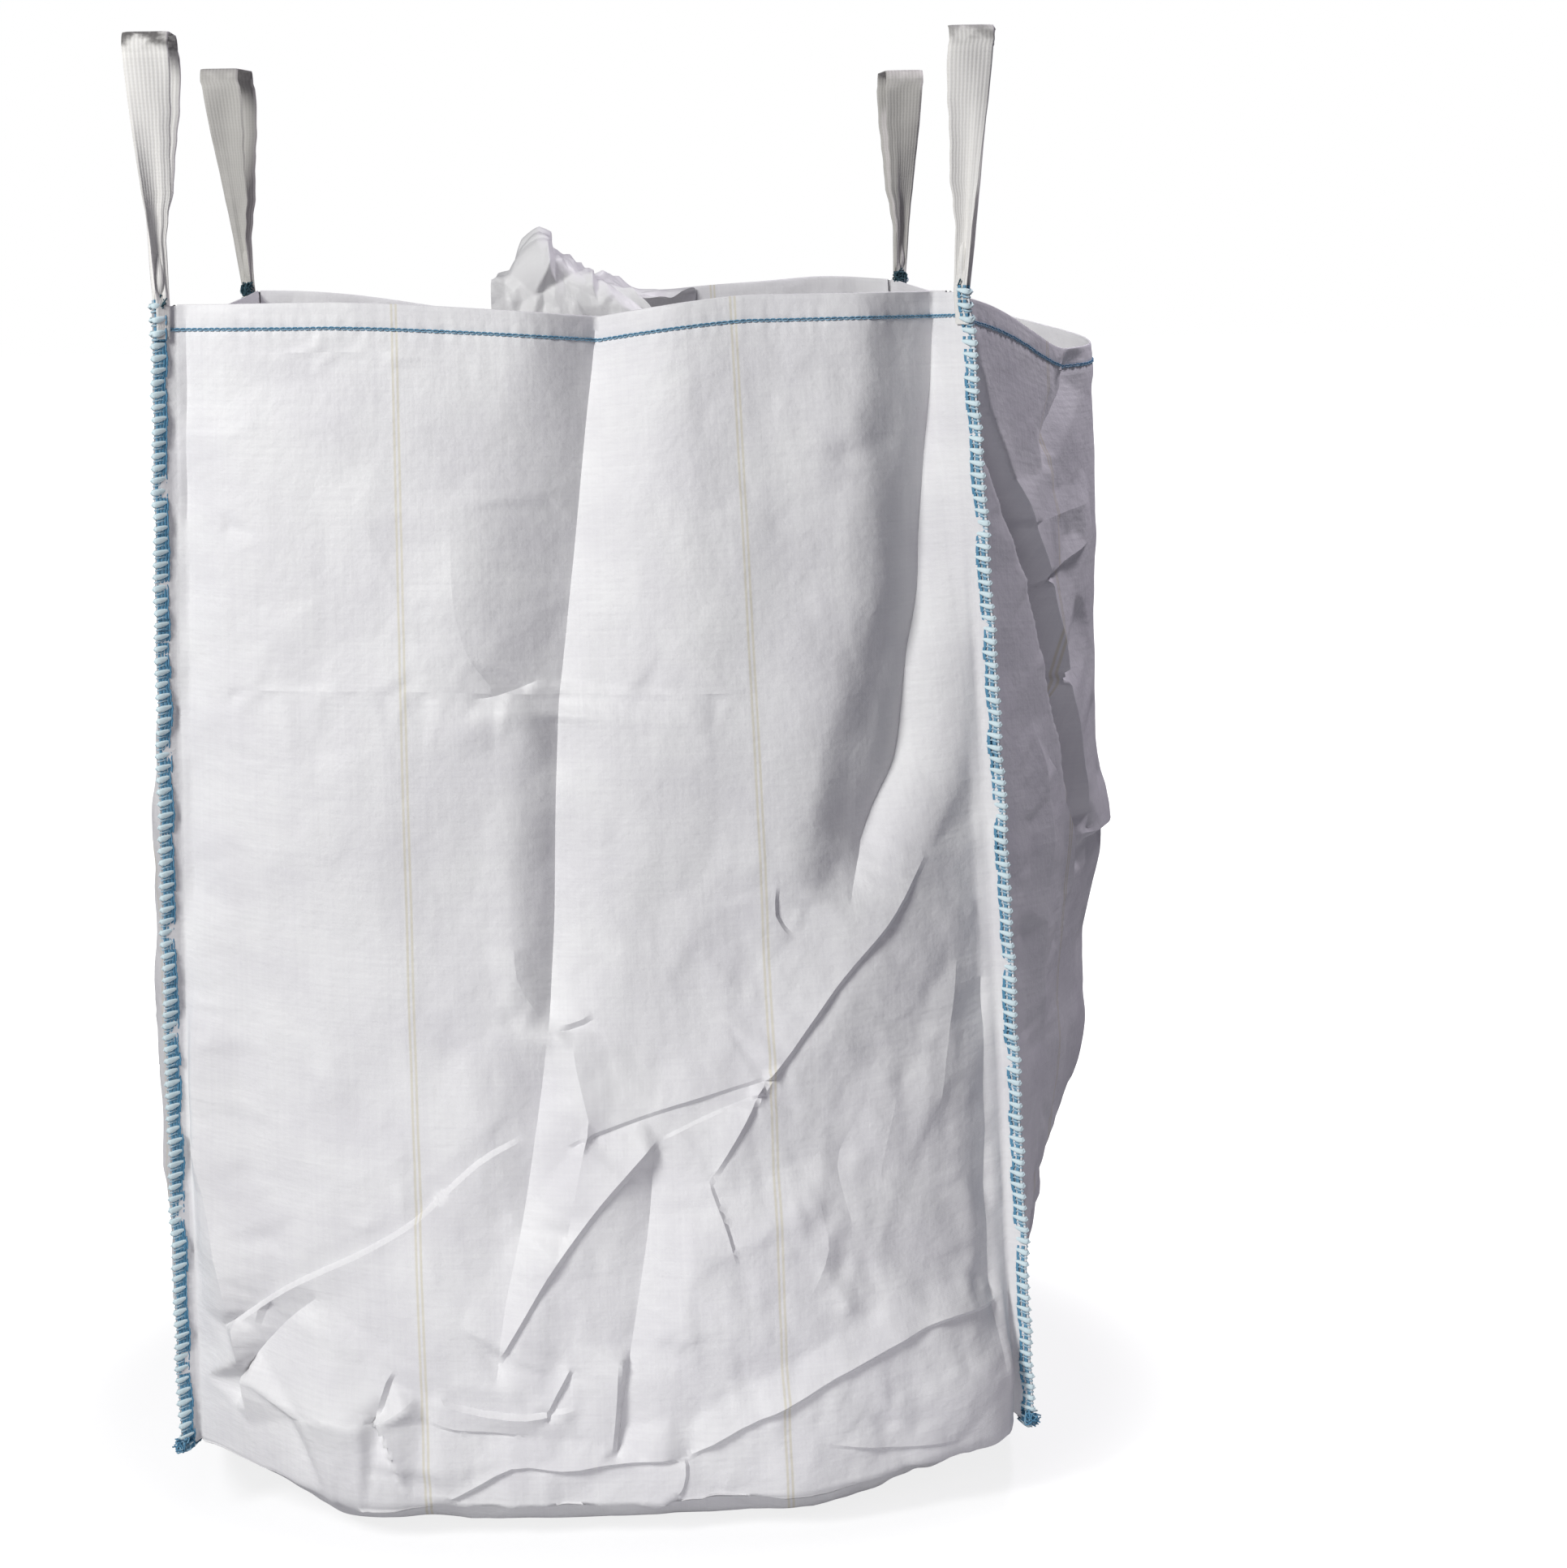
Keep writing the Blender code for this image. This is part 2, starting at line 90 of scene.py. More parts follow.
class Fold(Enum):
    """How the cloth runs up to a crease."""

    CRISP = "flat facets"
    SWEPT = "a curve that steepens towards a sharp line"
    SOFT = "a round fold"


def lerp(start: Values, end: Values, share: Values) -> Values:
    """The value that lies at this share of the way from start to end."""
    return start + (end - start) * share


def ease(low: float, high: float, value: Values) -> Values:
    """0 below low, 1 above high, and a soft step between them."""
    share = np.clip((np.asarray(value) - low) / (high - low), 0.0, 1.0)
    return share * share * (3.0 - 2.0 * share)


def read_table(table: Table, value: Array) -> Array:
    """Read a short table with an eased step between its entries.

    Args:
        table: Pairs of a place and the value there, in rising order.
        value: The places to read.

    Returns:
        The values at those places.
    """
    result = np.full(np.shape(value), table[0][1])
    for (low, first), (high, second) in zip(table, table[1:]):
        result = np.where(value > low, lerp(first, second, ease(low, high, value)), result)
    return result


def unit(vectors: Array) -> Array:
    """The same directions at length 1, along the last axis."""
    return vectors / np.maximum(np.linalg.norm(vectors, axis=-1, keepdims=True), 1e-9)


def distance_along(points: Array) -> Array:
    """How far along a path each of its points lies, from 0 at the first one."""
    return np.concatenate([[0.0], np.cumsum(np.linalg.norm(np.diff(points, axis=0), axis=1))])


def resample(path: Array, along: Array, places: Array) -> Array:
    """The points of a flat path at other places along it."""
    return np.stack([np.interp(places, along, path[:, axis]) for axis in (0, 1)], axis=1)


def smooth_path(points: Array, steps: int = 6) -> Array:
    """A rounded path through given points.

    Args:
        points: The points, one a row, in any number of dimensions.
        steps: How many short pieces each stretch becomes.

    Returns:
        The points of a Catmull-Rom curve through them.
    """
    points = np.asarray(points, float)
    padded = np.vstack([2 * points[0] - points[1], points, 2 * points[-1] - points[-2]])
    result = []
    for before, start, end, after in zip(padded, padded[1:], padded[2:], padded[3:]):
        for step in range(steps):
            t = step / steps
            bend = 2 * start + (end - before) * t
            bend = bend + (2 * before - 5 * start + 4 * end - after) * t * t
            bend = bend + (3 * start - 3 * end + after - before) * t**3
            result.append(bend / 2)
    result.append(points[-1])
    return np.array(result)


def wander(u: Array, v: Array, size: float, seed: int) -> Array:
    """Soft random unevenness, from about -1 to 1.

    Args:
        u: Places along one direction of the cloth.
        v: Places along the other.
        size: How far apart its humps are.
        seed: Which pattern it is.

    Returns:
        The unevenness at each place.
    """
    rng = np.random.default_rng(seed)
    columns = int(np.ceil(np.ptp(u) / size)) + 3
    rows = int(np.ceil(np.ptp(v) / size)) + 3
    knots = rng.uniform(-1.0, 1.0, (rows, columns))
    x = (u - u.min()) / size
    y = (v - v.min()) / size
    column, row = np.floor(x).astype(int), np.floor(y).astype(int)
    right, up = ease(0.0, 1.0, x - column), ease(0.0, 1.0, y - row)
    lower = lerp(knots[row, column], knots[row, column + 1], right)
    upper = lerp(knots[row + 1, column], knots[row + 1, column + 1], right)
    return lerp(lower, upper, up)


@dataclass(frozen=True)
class Flank:
    """One side of a crease: how far it reaches, and how high the cloth stands at the crease."""

    reach: float
    height: float


@dataclass(frozen=True)
class Crease:
    """A crease along given points, walked downwards or to the left.

    The flank before it lies on the left of an upright crease and above a level one.
    """

    points: Table
    before: Flank
    after: Flank
    kind: Fold
    fade: float
    taper: float

    def line(self) -> tuple[Array, Array, Array]:
        """Evenly spaced points of the crease.

        Returns:
            The points, which way the flank after the crease lies, and how strong the crease is there.
        """
        path = smooth_path(np.array(self.points))
        along = distance_along(path)
        places = np.linspace(0.0, along[-1], max(3, int(along[-1] / CREASE_SPACING) + 2))
        points = resample(path, along, places)
        run = unit(np.gradient(points, axis=0))
        ends = np.minimum(places, along[-1] - places)
        most = CREASE_UNEVENNESS / max(abs(self.before.height), abs(self.after.height))
        uneven = 1.0 + min(0.25, most) * np.sin(places * 57.0 + along[-1] * 90.0)
        strength = np.clip(ends / self.fade, 0.0, 1.0) * uneven
        return points, np.stack([-run[:, 1], run[:, 0]], axis=1), strength

    def bank(self) -> float:
        """How far from its crest the cloth reaches the lower of its two heights."""
        return BANK_WIDTH + 0.5 * abs(self.before.height - self.after.height)

    def reaches(self, count: int) -> tuple[Array, Array]:
        """How far the flanks before and after the crease reach at each of its points."""
        shrink = np.linspace(1.0, self.taper, count)[:, None]
        return self.before.reach * shrink, self.after.reach * shrink

    def relief(self, u: Array, v: Array) -> Array:
        """How far the cloth stands out because of this crease, as a soft fold.

        Args:
            u: Places across the wall.
            v: Heights on the wall.

        Returns:
            The relief at each place, in metres.
        """
        points, _, strengths = self.line()
        best = np.stack([np.full(u.shape, np.inf)] + [np.zeros(u.shape)] * 3)
        for index, (start, end) in enumerate(zip(points, points[1:])):
            step = end - start
            share = ((u - start[0]) * step[0] + (v - start[1]) * step[1]) / step.dot(step)
            share = np.clip(share, 0.0, 1.0)
            off_u, off_v = u - start[0] - share * step[0], v - start[1] - share * step[1]
            distance = np.hypot(off_u, off_v)
            sense = np.where(off_v * step[0] - off_u * step[1] >= 0.0, 1.0, -1.0)
            strength = lerp(*strengths[index : index + 2], share)
            along = (index + share) / (len(points) - 1)
            found = np.stack([distance, distance * sense, strength, along])
            best = np.where(distance < best[0], found, best)
        nearest, signed, strength, along = best
        shrink = lerp(1.0, self.taper, along)
        flanks = []
        for flank in (self.before, self.after):
            away = np.clip(nearest / (flank.reach * shrink), 0.0, 1.0)
            profile = (1.0 - away) ** 1.8 if self.kind is Fold.SWEPT else 1.0 - ease(0.0, 1.0, away)
            flanks.append(flank.height * profile)
        return strength * lerp(flanks[0], flanks[1], ease(-0.008, 0.008, signed))


def crease(
    sides: tuple[float, float, float, float],
    *path: tuple[float, float],
    fade: float = 45,
    kind: Fold = Fold.CRISP,
    taper: float = 1.0,
) -> Crease:
    """A crease given in millimetres.

    Args:
        sides: The reach and the height of the flank before it, then of the one after it.
        path: Its points, as places across the wall and heights.
        fade: Over how long a stretch it fades out at each end.
        kind: How the cloth runs up to it.
        taper: How wide its flanks are at its end, as a share of their width at its start.

    Returns:
        The crease, in metres.
    """
    before, after = (Flank(reach / 1000.0, height / 1000.0) for reach, height in (sides[:2], sides[2:]))
    points = tuple((across / 1000.0, height / 1000.0) for across, height in path)
    return Crease(points, before, after, kind, fade / 1000.0, taper)


@dataclass(frozen=True)
class FoldNet:
    """Crisp folds: flat facets between crease lines, their banks and the smooth cloth around them."""

    creases: tuple[Crease, ...]
    seed: int
    cell: float = 0.060
    unevenness: float = 0.0012
    foot_share: float = 0.93

    def nodes(self, low: Array, high: Array) -> tuple[Array, Array, Edges]:
        """The corners of the facets and the lines that they keep.

        Args:
            low: The lowest place across and up.
            high: The highest place across and up.

        Returns:
            The places of the corners, their heights, and pairs of corners that stay joined.
        """
        rng = np.random.default_rng(self.seed)
        spots, heights, edges, feet, count = [], [], [], [], 0
        for fold in self.creases:
            points, sides, strength = fold.line()
            rows = [(points, fold.before.height)]
            if abs(fold.before.height - fold.after.height) > 1e-6:
                rows.append((points + sides * fold.bank(), fold.after.height))
            for row, height in rows:
                spots.append(row)
                heights.append(strength * height)
                edges += [(count + index, count + index + 1) for index in range(len(row) - 1)]
                count += len(row)
            before, after = fold.reaches(len(points))
            feet += [points - sides * before, points + sides * after]
        grid = np.stack(np.meshgrid(*(np.arange(a, b, self.cell) for a, b in zip(low, high))), axis=-1)
        grid = grid.reshape(-1, 2) + rng.uniform(-0.3, 0.3, (grid.size // 2, 2)) * self.cell
        loose = np.vstack(feet + [grid])
        free = np.ones(len(loose), bool)
        for fold in self.creases:
            points, sides, _ = fold.line()
            reach_before, reach_after = fold.reaches(len(points))
            off = loose[:, None, :] - points[None, :, :]
            away = np.linalg.norm(off, axis=-1)
            near = np.argmin(away, axis=1)
            rows = np.arange(len(loose))
            after = np.sum(off[rows, near] * sides[near], axis=-1) > 0.0
            reach = np.where(after, reach_after[near, 0], reach_before[near, 0])
            free &= away[rows, near] > reach * self.foot_share
        loose = loose[free]
        corners = [(a, b) for a in (low[0] - 0.1, high[0] + 0.1) for b in (low[1] - 0.1, high[1] + 0.1)]
        spots += [loose, np.array(corners)]
        heights += [rng.normal(0.0, self.unevenness, len(loose)), np.zeros(4)]
        return np.vstack(spots), np.concatenate(heights), edges

    def relief(self, u: Array, v: Array) -> Array:
        """How far the cloth stands out because of these folds.

        Args:
            u: Places across the wall.
            v: Heights on the wall.

        Returns:
            The relief at each place, in metres.
        """
        low, high = np.array([u.min(), v.min()]) - 0.05, np.array([u.max(), v.max()]) + 0.05
        spots, heights, edges = self.nodes(low, high)
        return read_facets(spots, heights, edges, u, v)


@dataclass(frozen=True)
class Facets:
    """Small random folds: flat facets between scattered points at random heights."""

    cell: float
    height: float
    seed: int

    def relief(self, u: Array, v: Array) -> Array:
        """How far the cloth stands out because of these folds.

        Args:
            u: Places across the cloth.
            v: Places along the cloth.

        Returns:
            The relief at each place, in metres.
        """
        rng = np.random.default_rng(self.seed)
        margin = 2.0 * self.cell
        columns = np.arange(u.min() - margin, u.max() + margin, self.cell)
        rows = np.arange(v.min() - margin, v.max() + margin, self.cell)
        spots = np.stack(np.meshgrid(columns, rows), axis=-1).reshape(-1, 2)
        spots = spots + rng.uniform(-0.42, 0.42, spots.shape) * self.cell
        return read_facets(spots, rng.normal(0.0, self.height, len(spots)), [], u, v)


def read_facets(spots: Array, heights: Array, edges: Edges, u: Array, v: Array) -> Array:
    """Join corners to flat facets and read their height at many places.

    Args:
        spots: The places of the corners.
        heights: Their heights.
        edges: Pairs of corners that stay joined.
        u: Places to read, across.
        v: Places to read, along.

    Returns:
        The height at each place.
    """
    plan = delaunay_2d_cdt([Vector(spot) for spot in spots], edges, [], 0, 1e-6)
    nodes = []
    for spot, source in zip(plan[0], plan[3]):
        nearest = source[0] if source else int(np.argmin(np.sum((spots - np.array(spot)) ** 2, axis=1)))
        nodes.append((spot[0], spot[1], heights[nearest]))
    tree = BVHTree.FromPolygons(nodes, plan[2])
    down = Vector((0.0, 0.0, -1.0))
    result = np.zeros(u.size)
    for index, (x, y) in enumerate(zip(u.ravel(), v.ravel())):
        hit = tree.ray_cast(Vector((x, y, 1.0)), down)[0]
        if hit is not None:
            result[index] = hit.z
    return result.reshape(u.shape)


def soften(relief: Array, rounds: int) -> Array:
    """Round the folds of a relief on a grid.

    Args:
        relief: The relief, one value for each point of the grid.
        rounds: How often each value is mixed with its neighbours'.

    Returns:
        The rounded relief.
    """
    for _ in range(rounds):
        padded = np.pad(relief, 1, mode="edge")
        sides = padded[:-2, 1:-1] + padded[2:, 1:-1] + padded[1:-1, :-2] + padded[1:-1, 2:]
        relief = relief * 0.5 + sides * 0.125
    return relief


@dataclass(frozen=True)
class BagShape:
    """The smooth form of the bag that every cloth follows: the part's own sizes and rules."""

    rim_height: float = 1.410
    rim_half_width: float = 0.434
    rim_shift: float = -0.018
    rim_half_depth: float = 0.440
    foot_half_width: float = 0.476
    foot_half_depth: float = 0.465
    foot_height: float = 0.105
    seam_bow: float = 0.006
    base_seam_height: float = 0.048
    base_seam_bow: float = 0.010
    fin_width: float = 0.026
    fin_sideways: float = 1.3
    edge_power: float = 3.0
    base_rounding: float = 12.0
    base_lift: float = 0.050
    base_flat_trim: float = 0.004
    cloth: float = 0.002
    front_swell: Table = ((0.0, 0.105), (0.25, 0.120), (0.80, 0.075), (1.410, 0.030))
    back_swell: Table = ((0.0, 0.105), (0.25, 0.115), (0.80, 0.065), (1.410, 0.020))
    right_swell: Table = ((0.0, 0.057), (0.25, 0.079), (0.50, 0.147), (0.78, 0.189), (1.410, 0.215))
    left_swell: Table = ((0.0, 0.052), (0.25, 0.067), (0.80, 0.069), (1.410, 0.052))
    front_notch: tuple[float, float, float, float] = (0.020, -0.021, 0.300, 0.170)
    back_waves: tuple[tuple[float, float, float], ...] = (
        (-0.120, -0.034, 0.200),
        (0.350, 0.012, 0.080),
    )
    wave_reach: float = 0.35
    right_rounding: float = 0.12
    left_rounding: float = 0.90
    side_foot_power: float = 14.0
    right_sag: float = 0.070
    left_sag: float = 0.030
    near_sag: float = 0.024
    near_sag_at: float = 0.33
    near_sag_reach: float = 0.13

    def length(self) -> float:
        """How high a corner seam is, from its foot to the rim."""
        return self.rim_height - self.foot_height

    def seam(self, side: Side, wall: Wall, share: Array) -> Array:
        """Points on the seam of one side.

        Args:
            side: Which side of the bag.
            wall: Which stretch of the long cloth.
            share: How far down a wall, or from the front of the base to its back.

        Returns:
            The points, along a new last axis.
        """
        sign = side.value
        share = np.asarray(share, float)
        if wall is Wall.BASE:
            across = 1.0 - np.abs(2.0 * share - 1.0) ** 3
            x = sign * (self.foot_half_width + self.base_seam_bow * across)
            y = lerp(-self.foot_half_depth, self.foot_half_depth, share)
            z = lerp(self.foot_height, self.base_seam_height, across)
            return np.stack([x, y, z], axis=-1)
        half = lerp(self.rim_half_width, self.foot_half_width, share)
        half = half + self.seam_bow * np.sin(np.pi * share)
        x = sign * half + lerp(self.rim_shift, 0.0, share)
        y = wall.facing * lerp(self.rim_half_depth, self.foot_half_depth, share)
        return np.stack([x, y, lerp(self.rim_height, self.foot_height, share)], axis=-1)

    def fin_frames(self, side: Side, seam: Array) -> tuple[Array, Array]:
        """Which way the fin stands at each point of a seam, and which way its face looks.

        Args:
            side: Which side of the bag.
            seam: The whole seam, from the front rim along the base to the back rim.

        Returns:
            The directions of the fin, and those of its outer face.
        """
        run = np.gradient(seam, axis=0)
        for _ in range(12):
            run[1:-1] = (run[:-2] + 2.0 * run[1:-1] + run[2:]) / 4.0
        outward = unit(np.stack([np.zeros(len(run)), run[:, 2], -run[:, 1]], axis=-1))
        fin = outward + np.array([side.value * self.fin_sideways, 0.0, 0.0])
        fin = unit(fin)
        face = outward - fin * np.sum(outward * fin, axis=-1, keepdims=True)
        return fin, unit(face)

    def rim_rise(self, wall: Wall, x: Array) -> Array:
        """How far the top hem of the long cloth rises above its corners.

        Args:
            wall: The front or the back.
            x: Places along the hem.

        Returns:
            The rise at each place.
        """
        if wall is Wall.FRONT:
            middle, height, left, right = self.front_notch
            off = np.where(x < middle, (middle - x) / left, (x - middle) / right)
            return height * np.clip(1.0 - off, 0.0, 1.0) ** 1.3
        rise = np.zeros(np.shape(x))
        for middle, height, width in self.back_waves:
            rise = rise + height * np.exp(-(((x - middle) / width) ** 2))
        return rise

    def long_point(self, wall: Wall, share: Array, across: Array) -> Array:
        """Points of the long cloth before it is creased.

        Args:
            wall: Which stretch of the cloth.
            share: How far along that stretch.
            across: From -1 on the left seam to 1 on the right one.

        Returns:
            The points, along a new last axis.
        """
        left, right = self.seam(Side.LEFT, wall, share), self.seam(Side.RIGHT, wall, share)
        seam = lerp(left, right, ((across + 1.0) / 2.0)[..., None])
        bulge = 1.0 - np.abs(across) ** self.edge_power
        if wall is Wall.BASE:
            turn = np.cos(np.pi * share)
            reach = self.foot_half_depth + self.front_swell[0][1]
            middle = self.base_lift * np.abs(turn) ** self.base_rounding
            y = lerp(seam[..., 1], -reach * turn, bulge)
            z = lerp(seam[..., 2], middle, bulge) - self.base_flat_trim
            return np.stack([seam[..., 0], y, np.maximum(self.cloth, z)], axis=-1)
        level = lerp(seam[..., 2], lerp(self.rim_height, self.base_lift, share), bulge)
        hem = np.clip(1.0 - (self.rim_height - seam[..., 2]) / self.wave_reach, 0.0, 1.0)
        rise = self.rim_rise(wall, seam[..., 0]) * bulge * hem * hem
        z = level + rise - self.base_flat_trim * share**8 * bulge
        swell = self.front_swell if wall is Wall.FRONT else self.back_swell
        y = seam[..., 1] + wall.facing * read_table(swell, level) * bulge
        return np.stack([seam[..., 0], y, z], axis=-1)

    def side_point(self, side: Side, down: Array, depth: Array) -> Array:
        """Points of a side cloth before it is creased.

        Args:
            side: Which side of the bag.
            down: How far down from the hem, from 0 to 1.
            depth: How far from the front to the back, from 0 to 1.

        Returns:
            The points, along a new last axis.
        """
        front, back = self.seam(side, Wall.FRONT, down), self.seam(side, Wall.BACK, down)
        hem = lerp(front, back, depth[..., None])
        foot = self.seam(side, Wall.BASE, depth)
        right = side is Side.RIGHT
        level = lerp(self.rim_height, foot[..., 2], down)
        rounding = self.right_rounding if right else self.left_rounding
        tip = np.hypot(2.0 * depth - 1.0, rounding) - rounding
        fold = 1.0 - tip / (math.hypot(1.0, rounding) - rounding)
        swell = read_table(self.right_swell if right else self.left_swell, level) * fold
        drop = (self.right_sag if right else self.left_sag) * fold * (1.0 - down) ** 4
        if right:
            near = np.exp(-(((depth - self.near_sag_at) / self.near_sag_reach) ** 2))
            drop = drop + self.near_sag * near * (1.0 - down) ** 6
        closing = np.sqrt(np.clip(1.0 - down**self.side_foot_power, 0.0, 1.0))
        bow = (foot[..., 0] - side.value * self.foot_half_width) * down
        x = hem[..., 0] + side.value * swell * closing + bow
        return np.stack([x, hem[..., 1], level - drop], axis=-1)


def grid_normals(points: Array, towards: Array) -> Array:
    """The normals of a grid of points.

    Args:
        points: The grid, rows by columns by 3.
        towards: Rough outward directions that the normals are turned to.

    Returns:
        One unit normal for each point.
    """
    normals = np.cross(np.gradient(points, axis=1), np.gradient(points, axis=0))
    normals = unit(normals)
    sign = np.sign(np.sum(normals * towards, axis=-1, keepdims=True))
    return normals * np.where(sign == 0.0, 1.0, sign)


def grid_border(grid: Array) -> Array:
    """The edge of a grid: down its first column, along its last row and up its last column."""
    return np.concatenate([grid[:, 0], grid[-1, 1:-1], grid[::-1, -1]])


class PinnedGrid:
    """A grid whose nearest points are moved onto crease lines, so that the folds stay sharp."""

    def __init__(self, shape: tuple[int, int]) -> None:
        """Start with every point in its own row and column.

        Args:
            shape: How many rows and columns the grid has.
        """
        self.spots = np.stack(np.indices(shape), axis=-1).astype(float)
        self.taken = np.zeros(shape, bool)
        self.chains: list[list[tuple[int, int]]] = []

    def locate(self, u: Array, v: Array, place: Array) -> tuple[float, float]:
        """Find where a place lies in a grid.

        Args:
            u: The grid's places across.
            v: The grid's heights.
            place: The place to find.

        Returns:
            The row and the column, with fractions.
        """
        last_row, last_column = np.array(u.shape) - 1
        sense = 1.0 if v[-1, 0] > v[0, 0] else -1.0
        row = column = 0.0
        for _ in range(4):
            low = min(int(row), last_row - 1)
            spots = lerp(u[low], u[low + 1], row - low)
            column = float(np.interp(place[0], spots, np.arange(last_column + 1)))
            left = min(int(column), last_column - 1)
            heights = lerp(v[:, left], v[:, left + 1], column - left)
            row = float(np.interp(sense * place[1], sense * heights, np.arange(last_row + 1)))
        return row, column

    def pin(self, first_row: int, u: Array, v: Array, line: Array) -> None:
        """Move points of the grid onto a line.

        Args:
            first_row: Where the given part of the grid starts.
            u: That part's places across.
            v: That part's heights.
            line: The points of the line.
        """
        steps = np.linspace(0.0, len(line) - 1.0, 5 * (len(line) - 1) + 1)
        dense = resample(line, np.arange(len(line)), steps)
        found = np.array([self.locate(u, v, place) for place in dense])
        chain: list[tuple[int, int]] = []
        for start, end in zip(found, found[1:]):
            main = int(abs(end[1] - start[1]) > abs(end[0] - start[0]))
            low, high = sorted((start[main], end[main]))
            levels = np.arange(math.ceil(low), math.floor(high) + 1)
            for level in levels if end[main] > start[main] else levels[::-1]:
                spot = lerp(start, end, (level - start[main]) / (end[main] - start[main]))
                row, column = (int(round(value)) for value in spot)
                inside = 2 < row < u.shape[0] - 2 and 2 < column < u.shape[1] - 3
                if not inside or (chain and chain[-1] == (row + first_row, column)):
                    continue
                if not self.taken[row + first_row, column]:
                    self.taken[row + first_row, column] = True
                    self.spots[row + first_row, column] = spot + [first_row, 0.0]
                chain.append((row + first_row, column))
        self.chains.append(chain)

    def read_sheet(self, *grids: Array, below: Array) -> list[Array]:
        """The values of several grids at the moved points, and how far below the rim these lie."""
        rows = np.repeat(below[:, None], self.taken.shape[1], axis=1)
        return [self.read(grid) for grid in (*grids, rows)]

    def read(self, grid: Array) -> Array:
        """The values of a grid at the moved points.

        Args:
            grid: Values in rows and columns, each a number or a short row of numbers.

        Returns:
            A grid of the same shape.
        """
        limits = np.array(self.taken.shape) - 2
        corner = np.clip(np.floor(self.spots).astype(int), 0, limits)
        share = self.spots - corner
        if grid.ndim == 3:
            share = share[..., None, :]
        row, column = corner[..., 0], corner[..., 1]
        upper = lerp(grid[row, column], grid[row, column + 1], share[..., 1])
        lower = lerp(grid[row + 1, column], grid[row + 1, column + 1], share[..., 1])
        return lerp(upper, lower, share[..., 0])


class ClothMesh:
    """Collects grids of points and turns them into one open sheet."""

    def __init__(self) -> None:
        """Start with no points."""
        self.points: list[Array] = []
        self.places: list[Array] = []
        self.quads: list[Array] = []
        self.sharp: list[tuple[int, int]] = []
        self.count = 0

    def add(self, points: Array, places: Array) -> Array:
        """Add a grid of points.

        Args:
            points: The grid, rows by columns by 3.
            places: Their places on the flat cloth, rows by columns by 2.

        Returns:
            The number of each point, rows by columns.
        """
        rows, columns = points.shape[:2]
        numbers = np.arange(self.count, self.count + rows * columns).reshape(rows, columns)
        self.points.append(points.reshape(-1, 3))
        self.places.append(places.reshape(-1, 2))
        self.count += rows * columns
        return numbers

    def join(self, numbers: Array, flip: bool = False) -> None:
        """Fill a grid of point numbers with faces.

        Args:
            numbers: The point numbers, rows by columns.
            flip: Whether the faces point the other way.
        """
        corners = [numbers[:-1, :-1], numbers[:-1, 1:], numbers[1:, 1:], numbers[1:, :-1]]
        if flip:
            corners.reverse()
        self.quads.append(np.stack(corners, axis=-1).reshape(-1, 4))

    def fold(self, pins: PinnedGrid, numbers: Array) -> None:
        """Keep the folds along pinned lines sharp.

        Args:
            pins: The lines.
            numbers: The point numbers of the same grid, rows by columns.
        """
        for chain in pins.chains:
            ends = [int(numbers[spot]) for spot in chain]
            near = [max(abs(a[0] - b[0]), abs(a[1] - b[1])) == 1 for a, b in zip(chain, chain[1:])]
            self.sharp += [pair for pair, close in zip(zip(ends, ends[1:]), near) if close]

    def keys(self, first: Array, second: Array) -> Array:
        """One number for each pair of points, whichever comes first."""
        return np.minimum(first, second).astype(np.int64) * self.count + np.maximum(first, second)

    def build(self, name: str, material: bpy.types.Material) -> bpy.types.Object:
        """Make the piece.

        Args:
            name: The piece's name.
            material: Its finish.

        Returns:
            The finished object, at the origin.
        """
        points = np.vstack(self.points)
        quads = np.vstack(self.quads)
        pairs = np.array(self.sharp, int).reshape(-1, 2)
        sharp = self.keys(pairs[:, 0], pairs[:, 1])
        turned = np.isin(self.keys(quads[:, 1], quads[:, 3]), sharp)
        quads[turned] = np.roll(quads[turned], 1, axis=1)
        split = np.isin(self.keys(quads[:, 0], quads[:, 2]), sharp)
        whole, cut = quads[~split], quads[split]
        faces = whole.tolist() + cut[:, (0, 1, 2)].tolist() + cut[:, (0, 2, 3)].tolist()
        corners = np.concatenate([whole.ravel(), cut[:, (0, 1, 2)].ravel(), cut[:, (0, 2, 3)].ravel()])
        mesh = bpy.data.meshes.new(name)
        mesh.from_pydata(points.tolist(), [], faces)
        layer = mesh.uv_layers.new(name="cloth")
        layer.data.foreach_set("uv", np.vstack(self.places)[corners].astype(np.float32).ravel())
        mesh.materials.append(material)
        mesh.shade_smooth()
        ends = np.zeros(2 * len(mesh.edges), np.int32)
        mesh.edges.foreach_get("vertices", ends)
        marks = np.isin(self.keys(ends[::2], ends[1::2]), sharp)
        mesh.attributes.new("sharp_edge", "BOOLEAN", "EDGE").data.foreach_set("value", marks)
        return place_piece(name, mesh)


def place_piece(name: str, mesh: bpy.types.Mesh) -> bpy.types.Object:
    """Put a mesh in the scene at the origin.

    Args:
        name: The piece's name.
        mesh: Its mesh, in the part's own frame.

    Returns:
        The new object.
    """
    piece = bpy.data.objects.new(name, mesh)
    bpy.context.scene.collection.objects.link(piece)
    return piece


def dress(piece: bpy.types.Object, slot: str, *nodes: str) -> None:
    """Fix a finished piece to the bag's body and hide the solids that it stands for.

    Args:
        piece: The finished piece.
        slot: The record's material slot; not used.
        nodes: The solids that it replaces.
    """
    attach(piece, "root")
    if nodes:
        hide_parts(*nodes)
    LOG.info("%s: %d faces", piece.name, len(piece.data.polygons))


